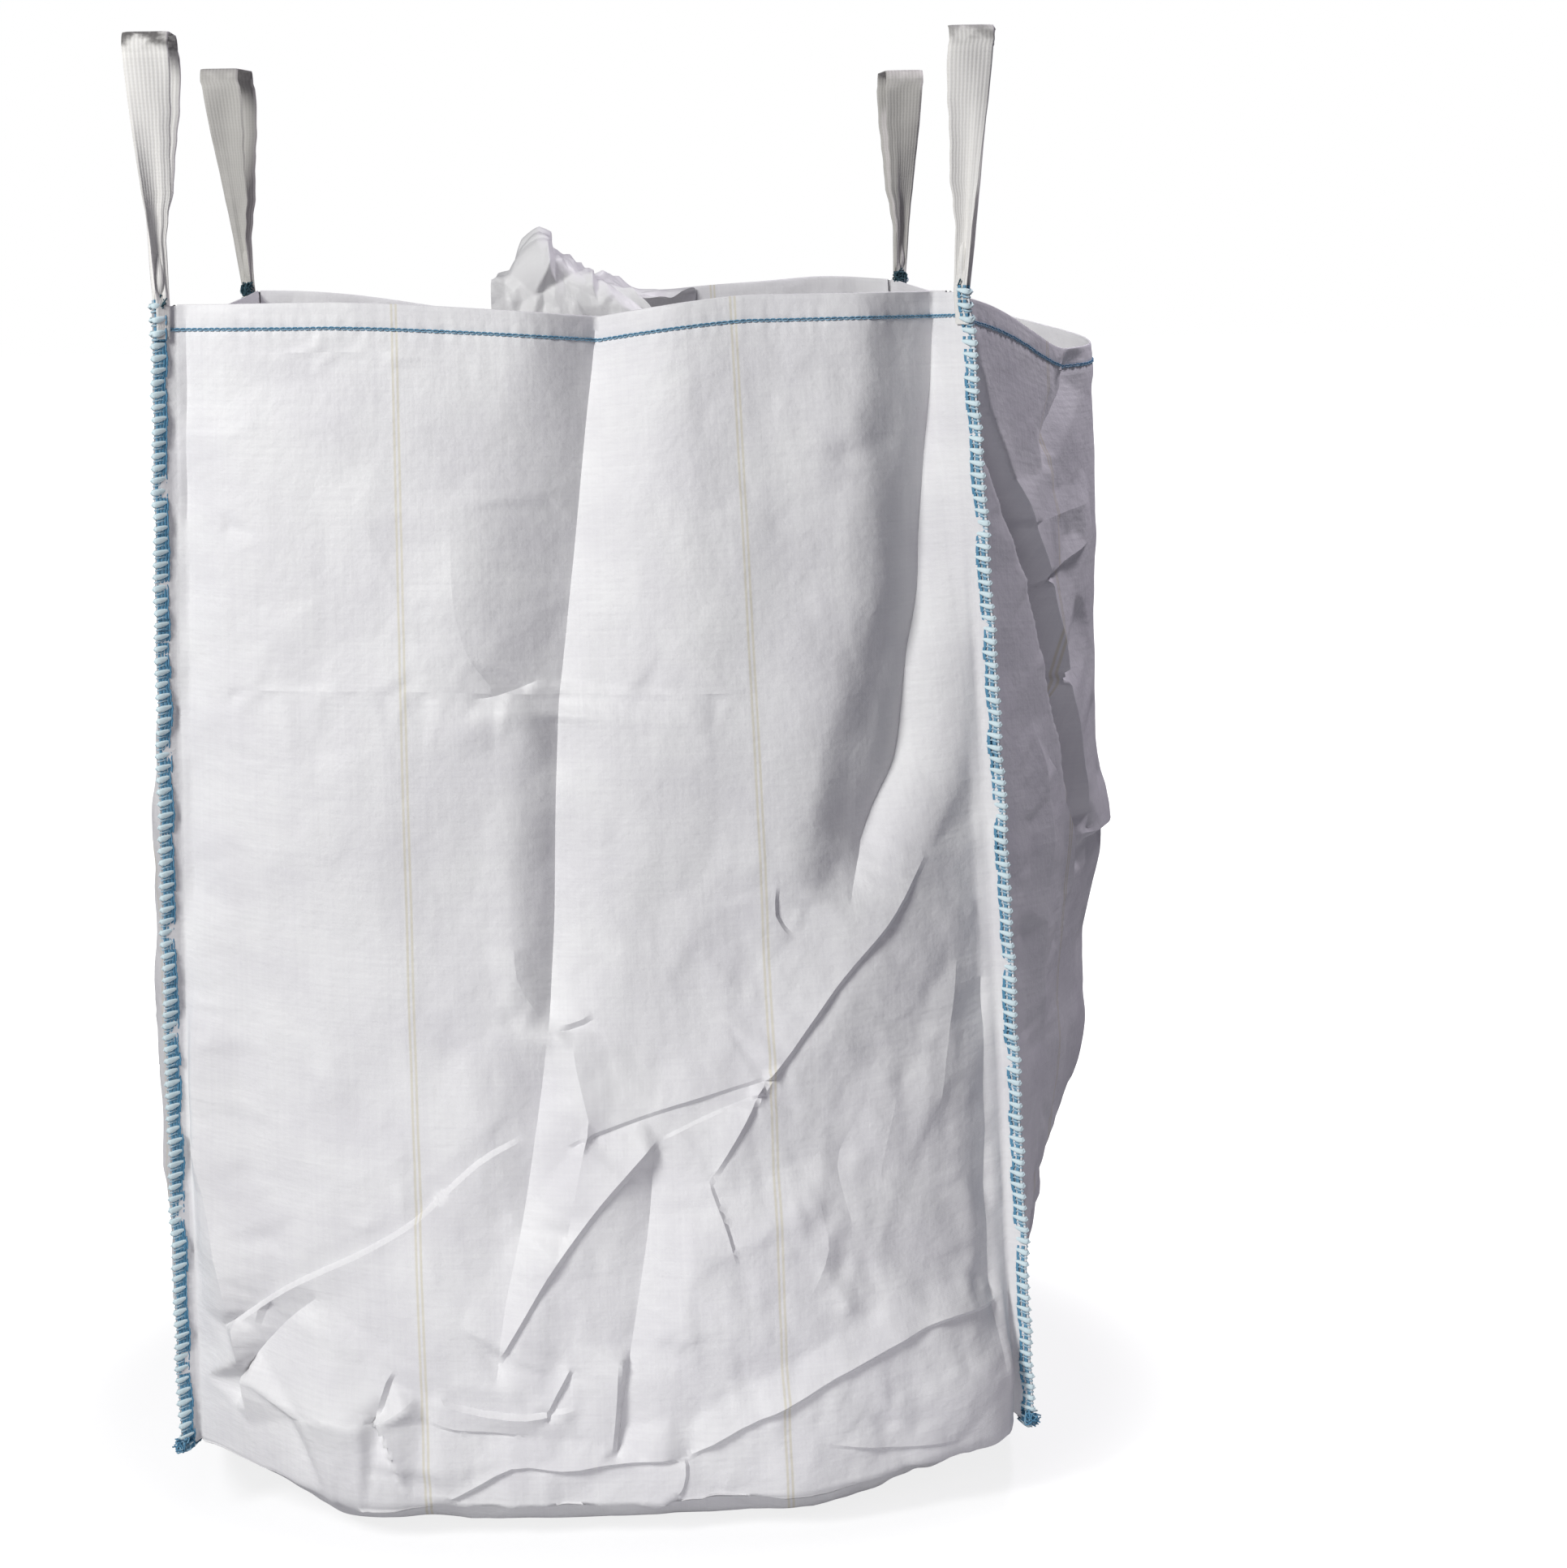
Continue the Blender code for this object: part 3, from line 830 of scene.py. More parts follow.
def fold_lines(creases: tuple[Crease, ...]) -> list[Array]:
    """The sharp lines of some creases: each crest, and the foot of the bank beside it.

    Args:
        creases: A wall's creases.

    Returns:
        The points of each line.
    """
    lines = []
    for fold in creases:
        if fold.kind is Fold.SOFT:
            continue
        points, sides, _ = fold.line()
        lines.append(points)
        step = abs(fold.before.height - fold.after.height)
        if step > LEAST_STEP and fold.kind is Fold.CRISP:
            lines.append(points + sides * fold.bank())
    return lines


def folds_of(creases: tuple[Crease, ...], u: Array, v: Array) -> Array:
    """All the folds of one wall: the crisp ones as one net of facets, the soft ones added up.

    Args:
        creases: The wall's creases.
        u: Places across the wall.
        v: Heights on the wall.

    Returns:
        The relief at each place.
    """
    crisp = tuple(fold for fold in creases if fold.kind is Fold.CRISP)
    others = [fold.relief(u, v) for fold in creases if fold.kind is not Fold.CRISP]
    return FoldNet(crisp, seed=71).relief(u, v) + sum(others)


@dataclass(frozen=True)
class Dent:
    """A soft round dent in a wall."""

    u: float
    v: float
    radius: float
    depth: float

    def relief(self, u: Array, v: Array) -> Array:
        """How far the cloth is pushed in, as a negative relief at each place."""
        away = (u - self.u) ** 2 + (v - self.v) ** 2
        return -self.depth * np.exp(-away / self.radius**2)


# Creases in millimetres: the reach and height of both flanks, then the points as (x, height)
FRONT_CREASES: tuple[Crease, ...] = (
    # The upright valley from the hem to the middle, and the wide shaded flank on its left
    crease((68, -42, 80, -42), (24, 1500), (16, 1373), (3, 1273), (-10, 1164), (-28, 1020), (-35, 966),
        (-36, 950), fade=30, kind=Fold.SWEPT, taper=2.4),
    crease((70, -27, 130, -27), (-33, 980), (-35, 966), (-42, 838), (-46, 727), (-51, 656), (-56, 590),
        fade=30, kind=Fold.SWEPT, taper=0.6),
    crease((60, 5, 110, 5), (-150, 1200), (-150, 1092), (-142, 1040), (-130, 1010), (-107, 980), fade=40),
    # The wedge on its left
    crease((30, -7, 10, -7), (-58, 990), (-84, 980), (-112, 972), (-135, 971), fade=16),
    crease((30, 6, 40, 6), (-66, 885), (-67, 925), (-74, 948), (-92, 957), (-125, 945), (-165, 918),
        fade=30, kind=Fold.SOFT),
    # Below it, a second valley and a ridge that run on to the base
    crease((90, -14, 50, -14), (-58, 585), (-64, 539), (-79, 446), (-93, 370), (-112, 287), (-126, 190),
        fade=30, kind=Fold.SWEPT),
    crease((30, 10, 40, 10), (-30, 590), (-24, 546), (-12, 490), (-18, 466), (-40, 365), fade=30),
    crease((40, 5, 30, -4), (-4, 616), (-26, 604), (-50, 602), fade=10),
    crease((30, 4, 24, 4), (-92, 690), (-88, 650), (-62, 606), fade=20),
    # The long slanting folds
    crease((60, 14, 60, 6), (66, 474), (30, 436), (-3, 400), (-53, 336), (-87, 282), (-124, 220), fade=12),
    crease((60, -13, 55, -13), (60, 460), (56, 410), (49, 353), (26, 216), (9, 99), fade=25),
    crease((12, 2, 14, -3), (14, 217), (10, 160), (3, 99), fade=15),
    crease((50, 5, 18, 0), (190, 538), (119, 519), (57, 502), (-13, 479), (-40, 466), fade=25),
    crease((12, 0, 40, 4), (188, 522), (122, 498), (68, 474), fade=20),
    crease((80, 13, 90, 5), (378, 780), (330, 705), (281, 650), (250, 611), (211, 558), (184, 527),
        (165, 491), (138, 446), (120, 420), fade=60),
    crease((35, 4, 35, 0), (121, 432), (124, 410), (138, 371), (150, 325), fade=20),
    crease((22, -4.5, 70, 4), (-90, 480), (-136, 456), (-178, 420), (-215, 386), (-269, 353), (-321, 327),
        (-369, 300), (-440, 245), fade=50),
    crease((38, 12, 60, 4), (456, 248), (386, 243), (349, 231), (275, 197), (203, 159), (149, 134),
        (85, 97)),
    # Folds near the foot
    crease((34, 6, 18, -1), (-190, 186), (-187, 173), (-137, 159), (-82, 155), (-32, 163), fade=25),
    crease((14, 3, 14, -1), (-87, 135), (-128, 139), (-174, 144), (-205, 156), fade=25),
    crease((35, 8, 40, 1), (83, 100), (9, 98), (-50, 92), (-109, 96), (-154, 73), (-197, 50), fade=15),
    crease((20, 6, 35, 1), (90, 112), (87, 92), (83, 61), (41, 32), fade=12),
    crease((70, 20, 100, 22), (-214, 183), (-264, 152), (-323, 158), (-363, 144), fade=20),
    crease((16, 5, 20, -1), (-240, 215), (-248, 201), (-264, 152), fade=10),
    crease((40, -9, 70, -9), (-323, 296), (-367, 260), (-412, 206), (-431, 151), fade=20),
    crease((20, 4, 15, -4), (-384, 288), (-395, 270), (-402, 250), fade=12),
    crease((16, 4, 12, -3), (-39, 215), (-58, 181), (-75, 146), fade=12),
    crease((30, 4, 30, -1), (407, 92), (330, 94), (244, 109), fade=40),
    # Beside the left seam
    crease((36, 16, 62, 16), (-476, 640), (-475, 590), (-466, 485), (-448, 382), (-436, 319), (-417, 216),
        (-415, 131)),
    crease((22, -7, 45, -6), (-438, 1480), (-440, 1380), (-447, 1200), (-455, 1030), (-457, 840),
        (-466, 660), fade=90),
    # Beside the right seam
    crease((22, -6, 12, -6), (442, 900), (446, 600), (446, 345), (449, 248), (450, 160), fade=60),
    # The shaded band beside the right seam
    crease((110, 9, 50, 9), (318, 1440), (312, 1304), (295, 1236), (317, 1205), (322, 1128), (314, 1052),
        (290, 1003), (276, 953), (256, 916), (246, 846), (231, 771), (218, 726), kind=Fold.SOFT),
    crease((105, -41, 75, -41), (410, 1480), (402, 1301), (391, 1175), (386, 1074), (372, 999), (360, 897),
        (329, 835), (302, 767), (286, 720), fade=80, kind=Fold.SWEPT, taper=0.9),
    crease((20, 3, 25, -2), (204, 752), (203, 716), (222, 690), fade=20),
    crease((30, 4, 26, 4), (343, 522), (328, 459), (317, 395)),
    crease((30, 5, 35, 5), (413, 654), (397, 543), (381, 461)),
    crease((26, 4, 20, 4), (246, 393), (255, 336), (235, 282), fade=30),
    crease((20, -3, 26, -3), (290, 480), (270, 430), (285, 360), fade=30),
    # Flat marks from the way it was folded for storage
    crease((4, 0.6, 4, 0.6), (-205, 1356), (-350, 1357)),
    crease((4, 0.6, 4, 0.6), (180, 970), (-24, 973), (-204, 980), (-400, 982)),
)
FRONT_DENTS: tuple[Dent, ...] = (
    Dent(0.430, 0.150, 0.090, -0.028),
    Dent(0.240, 0.040, 0.070, -0.012),
    Dent(0.296, 1.233, 0.016, 0.004),
    Dent(0.312, 0.420, 0.030, 0.004),
    Dent(-0.280, 0.055, 0.060, -0.018),
)

BACK_CREASES: tuple[Crease, ...] = (
    crease((130, -18, 110, -18), (-125, 1480), (-110, 1200), (-70, 960), (-55, 780), fade=120),
    crease((70, 12, 90, 12), (300, 820), (210, 640), (80, 480), (-60, 350), fade=80),
    crease((60, 9, 80, 9), (-420, 560), (-330, 430), (-250, 260), (-235, 150), fade=70),
    crease((60, 8, 70, 8), (440, 300), (330, 260), (180, 230), (60, 150), fade=60),
    crease((50, 6, 70, 6), (-60, 350), (-130, 280), (-270, 225), (-400, 230), fade=50),
    crease((70, 10, 60, 10), (360, 1440), (345, 1200), (380, 1000), (330, 820), fade=80, kind=Fold.SOFT),
    crease((70, -9, 60, -9), (-390, 1180), (-300, 960), (-210, 700), (-60, 350), fade=90),
)
BACK_DENTS: tuple[Dent, ...] = (Dent(0.150, 1.080, 0.060, 0.006), Dent(-0.280, 0.860, 0.050, 0.006))

# On the side cloths the points are (depth, height)
RIGHT_CREASES: tuple[Crease, ...] = (
    # The crest of the strip beside the front seam, and the hollow behind it
    crease((34, -32, 22, -32), (-405, 1345), (-369, 1254), (-330, 1188), (-298, 1142), (-258, 1071),
        (-224, 992), (-205, 927), (-172, 852), (-152, 760), (-148, 690), fade=50),
    crease((26, 9, 80, 9), (-300, 1190), (-258, 1120), (-222, 1060), (-190, 992), (-170, 927), (-137, 852),
        (-118, 738), fade=50),
    crease((40, -14, 30, -14), (-90, 1350), (-108, 1297), (-147, 1265), (-184, 1235), (-215, 1190),
        fade=35),
    crease((30, 6, 30, 6), (-60, 1146), (-111, 1139), (-195, 1136), (-275, 1128), fade=30),
    crease((24, 7, 40, 0), (-50, 1110), (-108, 1090), (-173, 1078), (-225, 1066), fade=25),
    crease((30, -8, 40, -8), (-90, 1020), (-128, 969), (-185, 932), fade=20),
    crease((60, 9, 40, -2), (130, 745), (20, 733), (-80, 732), (-140, 735), fade=40),
    crease((30, 5, 15, 0), (-255, 850), (-215, 800), (-180, 740), (-170, 660), fade=20),
    crease((60, 8, 60, 8), (-300, 900), (-270, 780), (-285, 640), (-260, 500), fade=60),
    crease((90, 10, 80, 10), (120, 1200), (180, 960), (140, 700), (210, 480), fade=80),
    crease((70, 10, 60, 3), (330, 700), (200, 560), (80, 460), (-80, 400), fade=70),
    crease((60, 8, 60, 2), (400, 330), (240, 280), (60, 300), (-120, 230), fade=60),
    crease((50, 7, 50, 1), (-140, 420), (-230, 330), (-330, 270), (-400, 240), fade=50),
)
LEFT_CREASES: tuple[Crease, ...] = (
    crease((120, -14, 120, -14), (-60, 1420), (-80, 1150), (-20, 900), (-50, 700), fade=120),
    crease((70, 12, 110, 12), (300, 960), (170, 740), (20, 580), (-150, 470), fade=80),
    crease((60, 10, 90, 10), (-390, 1120), (-270, 930), (-180, 720), (-150, 470), (-200, 280), fade=80),
    crease((80, 9, 60, 9), (400, 1300), (330, 1060), (350, 800), (290, 560), fade=90),
    crease((60, 9, 80, 9), (390, 420), (230, 340), (60, 280), (-100, 150), fade=60),
    crease((50, -7, 40, -7), (20, 580), (80, 420), (60, 280), (130, 120), fade=30),
    crease((45, 7, 45, 7), (-200, 280), (-290, 230), (-400, 240), fade=50),
)


@dataclass(frozen=True)
class SeamRun:
    """One seam, finely drawn: from the front rim down, along the base and up the back."""

    shape: BagShape
    side: Side
    wall_rows: int = 301
    base_rows: int = 181
    fin_steps: int = 5
    ripple: float = 0.0013

    def shares(self) -> tuple[Array, Array]:
        """The shares of the rows down a wall, and of those along the base without its ends."""
        walls = np.linspace(0.0, 1.0, self.wall_rows)
        steps = np.linspace(0.0, 1.0, self.base_rows)[1:-1]
        return walls, 0.5 * steps + 0.25 * (1.0 - np.cos(np.pi * steps))

    def points(self) -> Array:
        """The points of the seam.

        Returns:
            One point for each row, from the front rim to the back rim.
        """
        walls, base = self.shares()
        front = self.shape.seam(self.side, Wall.FRONT, walls)
        middle = self.shape.seam(self.side, Wall.BASE, base)
        back = self.shape.seam(self.side, Wall.BACK, walls[::-1])
        return np.vstack([front, middle, back])

    def strip(self, reach: float, lift: float) -> Array:
        """A line of points on the fin.

        Args:
            reach: How far out from the seam, as a share of the fin's width.
            lift: How far off the fin's middle, towards the front or the back.

        Returns:
            One point for each row of the seam.
        """
        seam = self.points()
        fin, face = self.shape.fin_frames(self.side, seam)
        run = distance_along(seam)
        phase = self.side.value
        wave = np.sin(run * 61.0 + phase) + 0.7 * np.sin(run * 37.0 + 2.0 * phase) + 0.5 * np.sin(run * 113.0)
        out = fin * self.shape.fin_width * reach
        return seam + out + face * (lift + self.ripple * wave * reach * reach)[:, None]

    def fin(self, lift: float) -> Array:
        """The lines of points of the whole fin, from the seam to its edge."""
        steps = np.arange(self.fin_steps + 1) / self.fin_steps
        return np.stack([self.strip(reach, lift) for reach in steps])


@dataclass(frozen=True)
class Hem:
    """The top edge of a cloth, rolled over and sewn down inside."""

    depth: float = 0.026
    radius: float = 0.0016
    groove: float = 0.0009
    groove_reach: float = 0.004
    pucker: float = 0.0006
    pucker_reach: float = 0.014
    pucker_length: float = 0.017
    place_step: float = 0.004
    thread_lift: float = 0.0004

    def relief(self, u: Array, below: Array) -> Array:
        """The groove along the stitch line and the puckers beside it.

        Args:
            u: Places along the hem.
            below: How far below the rim.

        Returns:
            The relief at each place.
        """
        groove = np.exp(-(((below - self.depth) / self.groove_reach) ** 2))
        near = np.exp(-(((below - self.depth) / self.pucker_reach) ** 2))
        uneven = wander(u, below * 0.2, 0.03, 5)
        ripple = np.sin(2.0 * np.pi * u / self.pucker_length + 3.0 * uneven)
        return self.pucker * ripple * near - self.groove * groove

    def roll(self, rim: Array, below: Array, outward: Array) -> Array:
        """The rows over the rim and down the inside.

        Args:
            rim: The points of the rim.
            below: The points of the next row down.
            outward: The rim's outward directions.

        Returns:
            The new rows, from the rim on.
        """
        up = unit(rim - below)
        rows = []
        for angle in np.radians((36.0, 72.0, 108.0, 144.0, 180.0)):
            inward = -outward * self.radius * (1.0 - math.cos(angle))
            rows.append(rim + inward + up * self.radius * math.sin(angle))
        steps = np.arange(len(rim))
        for reach in np.linspace(0.18, 1.0, 5) * self.depth:
            loose = 0.0009 * np.sin(steps * 0.35 + reach * 90.0) * reach / self.depth
            inward = outward * (2.0 * self.radius + 0.0006 + loose[:, None])
            rows.append(rim - inward - up * reach)
        return np.array(rows)

    def sew(
        self, cloth: ClothMesh, numbers: Array, rows: Array, outward: Array, places: Array, flip: bool
    ) -> None:
        """Add the rolled edge to a cloth.

        Args:
            cloth: The cloth's mesh so far.
            numbers: The point numbers of the rim.
            rows: The points of the rim, and those of the next row down.
            outward: The rim's outward directions.
            places: The rim's places on the flat cloth.
            flip: Whether the faces point the other way.
        """
        rolled = self.roll(*rows, outward)
        spots = np.repeat(places[None], len(rolled), axis=0)
        spots[..., 1] -= np.arange(1, len(rolled) + 1)[:, None] * self.place_step
        cloth.join(np.vstack([numbers[None], cloth.add(rolled, spots)]), flip)


@dataclass(frozen=True)
class LongCloth:
    """The cloth that is the front, the base and the back."""

    shape: BagShape
    hem: Hem
    columns: int = 198
    half_width: float = 0.455
    lift: float = 0.0007
    base_rows: int = 44
    back_stride: int = 3
    seam_edge: float = 0.014
    floor_gap: float = 0.0012
    wall_from: float = 0.25
    wall_full: float = 0.40
    folds: Facets = Facets(0.085, 0.0026, 11)
    small_folds: Facets = Facets(0.028, 0.0010, 12)
    fine_folds: Facets = Facets(0.015, 0.0005, 14)

    def base_picks(self, count: int) -> Array:
        """Which of the base's rows this cloth uses: close together at its front and back edges."""
        steps = np.linspace(0.02, 0.98, self.base_rows)
        return np.unique((0.5 - 0.5 * np.cos(np.pi * steps)) * (count - 1)).astype(int)

    def rows(self, run: SeamRun) -> Array:
        """Which rows of the seam this cloth uses: all on the front, fewer after it.

        Args:
            run: The seam.

        Returns:
            The numbers of the rows.
        """
        walls, base = run.shares()
        front = np.arange(len(walls))
        middle = len(walls) + self.base_picks(len(base))
        back = len(walls) + len(base) + np.arange(0, len(walls), self.back_stride)
        return np.concatenate([front, middle, back])

    def panel(self, run: SeamRun) -> tuple[Array, Array, Array]:
        """The smooth panel between the seams.

        Args:
            run: The rows of the seam.

        Returns:
            The grid of points, rough outward directions, and how far below its rim each row lies.
        """
        walls, base = run.shares()
        across = np.linspace(-1.0, 1.0, self.columns + 1)[None, :]
        parts, outward, below = [], [], []
        stretches = (
            (Wall.FRONT, walls, (0.0, -1.0, -0.05)),
            (Wall.BASE, base[self.base_picks(len(base))], (0.0, 0.0, -1.0)),
            (Wall.BACK, walls[::-1][:: self.back_stride], (0.0, 1.0, -0.05)),
        )
        for wall, shares, away in stretches:
            parts.append(self.shape.long_point(wall, shares[:, None], across))
            outward.append(np.tile(np.array(away), (len(shares), 1)))
            deep = np.full(len(shares), 9.0)
            below.append(deep if wall is Wall.BASE else shares * self.shape.length())
        away = np.repeat(np.vstack(outward)[:, None, :], self.columns + 1, axis=1)
        return np.vstack(parts), away, np.concatenate(below)

    def relief(self, points: Array, below: Array, places: Array) -> Array:
        """Every crease, dent and small fold of this cloth.

        Args:
            points: The smooth grid.
            below: How far below its rim each point lies.
            places: Places on the flat cloth.

        Returns:
            The relief at each point.
        """
        x, y, z = points[..., 0], points[..., 1], points[..., 2]
        relief = np.zeros(x.shape)
        for creases, dents, facing in (
            (FRONT_CREASES, FRONT_DENTS, -1.0),
            (BACK_CREASES, BACK_DENTS, 1.0),
        ):
            rows = np.flatnonzero(np.any(y * facing > self.wall_from, axis=1))
            u, v = x[rows], z[rows]
            wall = sum(mark.relief(u, v) for mark in dents) + folds_of(creases, u, v)
            wall = wall * ease(0.004, 0.022, v)
            relief[rows] += wall * ease(self.wall_from, self.wall_full, y[rows] * facing)
        across, along = places[..., 0], places[..., 1]
        off_floor = ease(0.003, 0.040, z)
        slack = lerp(1.2, 0.40, ease(0.20, 0.95, z)) * off_floor
        folds = self.folds.relief(across, along)
        small = self.small_folds.relief(across, along * 0.55)
        fine = self.fine_folds.relief(across, along * 0.45)
        small = small + fine * lerp(0.8, 1.8, ease(0.0, 0.25, x))
        soft = wander(across, along, 0.19, 13) * 0.0030
        other = folds * slack + small * slack + soft * off_floor
        return relief + soften(other, 1) + self.hem.relief(across, below)

    def build(self, material: bpy.types.Material) -> tuple[bpy.types.Object, dict[str, Path]]:
        """Make the cloth.

        Args:
            material: Its finish.

        Returns:
            The piece, and the lines of points that its hem threads follow, by wall.
        """
        left, right = SeamRun(self.shape, Side.LEFT), SeamRun(self.shape, Side.RIGHT)
        points, away, below = self.panel(left)
        normals = grid_normals(points, away)
        along = distance_along(points[:, self.columns // 2])
        across = np.linspace(-self.half_width, self.half_width, self.columns + 1)
        places = np.stack(np.meshgrid(across, along), axis=-1)
        pins = PinnedGrid(points.shape[:2])
        for creases, facing in ((FRONT_CREASES, -1.0), (BACK_CREASES, 1.0)):
            block = np.flatnonzero(away[:, 0, 1] == facing)
            part = points[block[0] : block[-1] + 1]
            for line in fold_lines(creases):
                pins.pin(int(block[0]), part[..., 0], part[..., 2], line)
        points, normals, places, deep = pins.read_sheet(points, normals, places, below=below)
        pin = ease(0.0, self.seam_edge, self.half_width - np.abs(places[..., 0]))
        points = points + normals * (self.relief(points, deep, places) * pin)[..., None]
        points[..., 2] = np.maximum(points[..., 2], self.floor_gap)
        rows = self.rows(left)
        fins = [run.fin(self.lift)[:, rows].swapaxes(0, 1) for run in (left, right)]
        sheet = np.concatenate([fins[0][:, ::-1], points[:, 1:-1], fins[1]], axis=1)
        steps = left.fin_steps
        margin = self.half_width + np.arange(steps + 1) / steps * self.shape.fin_width
        across = np.concatenate([-margin[::-1], across[1:-1], margin])
        flat = np.stack(np.meshgrid(across, along), axis=-1)
        inner = slice(steps + 1, -steps - 1)
        flat[:, inner] = places[:, 1:-1]
        cloth = ClothMesh()
        numbers = cloth.add(sheet, flat)
        cloth.join(numbers)
        cloth.fold(pins, numbers[:, steps:])
        normals = grid_normals(points, away)
        for rows in ((0, 1), (-1, -2)):
            rim = rows[0]
            pair = points[rows, 1:-1]
            self.hem.sew(cloth, numbers[rim, inner], pair, normals[rim, 1:-1], flat[rim, inner], rim == 0)
        stitched = {}
        for name, rows_there in (("front", np.arange(20)), ("back", np.arange(-20, 0))):
            row = rows_there[np.argmin(np.abs(below[rows_there] - self.hem.depth))]
            facing = grid_normals(sheet, np.repeat(away[:, :1], sheet.shape[1], axis=1))[row, 3:-3]
            stitched[name] = (sheet[row, 3:-3] + facing * self.hem.thread_lift, facing)
        return cloth.build("long_woven_cloth", material), stitched


@dataclass(frozen=True)
class SideCloth:
    """One side wall of the bag."""

    shape: BagShape
    hem: Hem
    side: Side
    creases: tuple[Crease, ...]
    seed: int
    lift: float = -0.0007
    seam_edge: float = 0.016

    def relief(self, points: Array, below: Array, places: Array) -> Array:
        """Every crease and small fold of this cloth.

        Args:
            points: The smooth grid.
            below: How far below the rim each point lies.
            places: Places on the flat cloth.

        Returns:
            The relief at each point.
        """
        y, z = points[..., 1], points[..., 2]
        u, v = places[..., 0], places[..., 1]
        relief = folds_of(self.creases, y, z)
        slack = lerp(1.0, 0.45, ease(0.30, 1.00, z))
        folds = soften(Facets(0.085, 0.0034, self.seed).relief(u, v), 2)
        small = Facets(0.034, 0.0009, self.seed + 1).relief(u, v)
        other = (folds + small) * slack + wander(u, v, 0.17, self.seed + 2) * 0.004
        return relief + soften(other, 1) + self.hem.relief(u, below)

    def build(self, material: bpy.types.Material) -> tuple[bpy.types.Object, Path]:
        """Make the cloth.

        Args:
            material: Its finish.

        Returns:
            The piece, and the points and normals that its hem thread follows.
        """
        run = SeamRun(self.shape, self.side)
        walls, base = run.shares()
        depth = np.concatenate([[0.0], base, [1.0]])
        points = self.shape.side_point(self.side, walls[:, None], depth[None, :])
        away = np.zeros(points.shape) + np.array([self.side.value, 0.0, -0.05])
        normals = grid_normals(points, away)
        length = self.shape.length()
        below = walls * length
        half_depth = self.shape.foot_half_depth
        places = np.stack(np.meshgrid((depth * 2.0 - 1.0) * half_depth, below), axis=-1)
        pins = PinnedGrid(points.shape[:2])
        for line in fold_lines(self.creases):
            pins.pin(0, points[..., 1], points[..., 2], line)
        points, normals, places, deep = pins.read_sheet(points, normals, places, below=below)
        edge = np.minimum(half_depth - np.abs(places[..., 0]), length - places[..., 1])
        relief = self.relief(points, deep, places) * ease(0.0, self.seam_edge, edge)
        points = points + normals * relief[..., None]
        last = len(walls) - 1
        seam, *strips = run.fin(self.lift)
        points[:, 0] = seam[: last + 1]
        points[:, -1] = seam[-last - 1 :][::-1]
        points[-1, 1:-1] = seam[last + 1 : last + len(depth) - 1]
        cloth = ClothMesh()
        numbers = cloth.add(points, places)
        cloth.join(numbers, flip=self.side is Side.RIGHT)
        cloth.fold(pins, numbers)
        left = self.side is Side.LEFT
        spots = [grid_border(places) + [0.0, 0.005 * step] for step in range(1, len(strips) + 1)]
        added = cloth.add(np.stack(strips), np.stack(spots))
        cloth.join(np.vstack([grid_border(numbers)[None], added]), flip=left)
        normals = grid_normals(points, away)
        self.hem.sew(cloth, numbers[0, 1:-1], points[:2, 1:-1], normals[0, 1:-1], places[0, 1:-1], left)
        row = int(np.argmin(np.abs(below - self.hem.depth)))
        name = self.side.name.lower() + "_woven_side"
        path = points[row, 1:-1] + normals[row, 1:-1] * self.hem.thread_lift
        return cloth.build(name, material), (path, normals[row, 1:-1])


class ThreadBundle:
    """Collects strands of thread as one mesh, each marked with its dye."""

    def __init__(self) -> None:
        """Start with no strands."""
        self.spots: list[tuple[float, float, float]] = []
        self.faces: list[tuple[int, int, int, int]] = []
        self.dyes: list[float] = []

    def add(self, path: Array, widths: Array, dye: float, flat: float, sides: int) -> None:
        """Add a strand along a run of points.

        Args:
            path: Its middle line.
            widths: Its radius at each point.
            dye: From 0, pale, to 1, dyed.
            flat: How much thinner it is across the face that it lies on, along Y.
            sides: How many sides it has.
        """
        run = unit(np.gradient(path, axis=0))
        aside = np.cross(run, [0.0, 1.0, 0.0])
        weak = np.linalg.norm(aside, axis=1) < 0.3
        aside[weak] = np.cross(run[weak], [1.0, 0.0, 0.0])
        aside = unit(aside)
        first = len(self.spots)
        for centre, width, across, upwards in zip(path, widths, aside, np.cross(aside, run)):
            for side in range(sides):
                angle = 2.0 * math.pi * side / sides
                offset = across * math.cos(angle) + upwards * math.sin(angle) * flat
                self.spots.append(tuple(centre + offset * width))
        for low in range(first, len(self.spots) - sides, sides):
            for side in range(sides):
                turn, high = (side + 1) % sides, low + sides
                self.faces.append((low + side, low + turn, high + turn, high + side))
        self.dyes += [dye] * (len(self.spots) - first)

    def mesh(self, name: str) -> bpy.types.Mesh:
        """The mesh of all strands.

        Args:
            name: Its name.

        Returns:
            The mesh, with the attribute that the thread's finish reads.
        """
        mesh = bpy.data.meshes.new(name)
        mesh.from_pydata(self.spots, [], self.faces)
        mesh.attributes.new("dye", "FLOAT", "POINT").data.foreach_set("value", self.dyes)
        mesh.shade_smooth()
        return mesh


@dataclass(frozen=True)
class Strand:
    """One strand of a stitch: its points as (along, off the face, out), its radii, and its dye."""

    points: tuple[tuple[float, float, float], ...]
    widths: tuple[float, ...]
    dye: float
    flat: float = 0.7


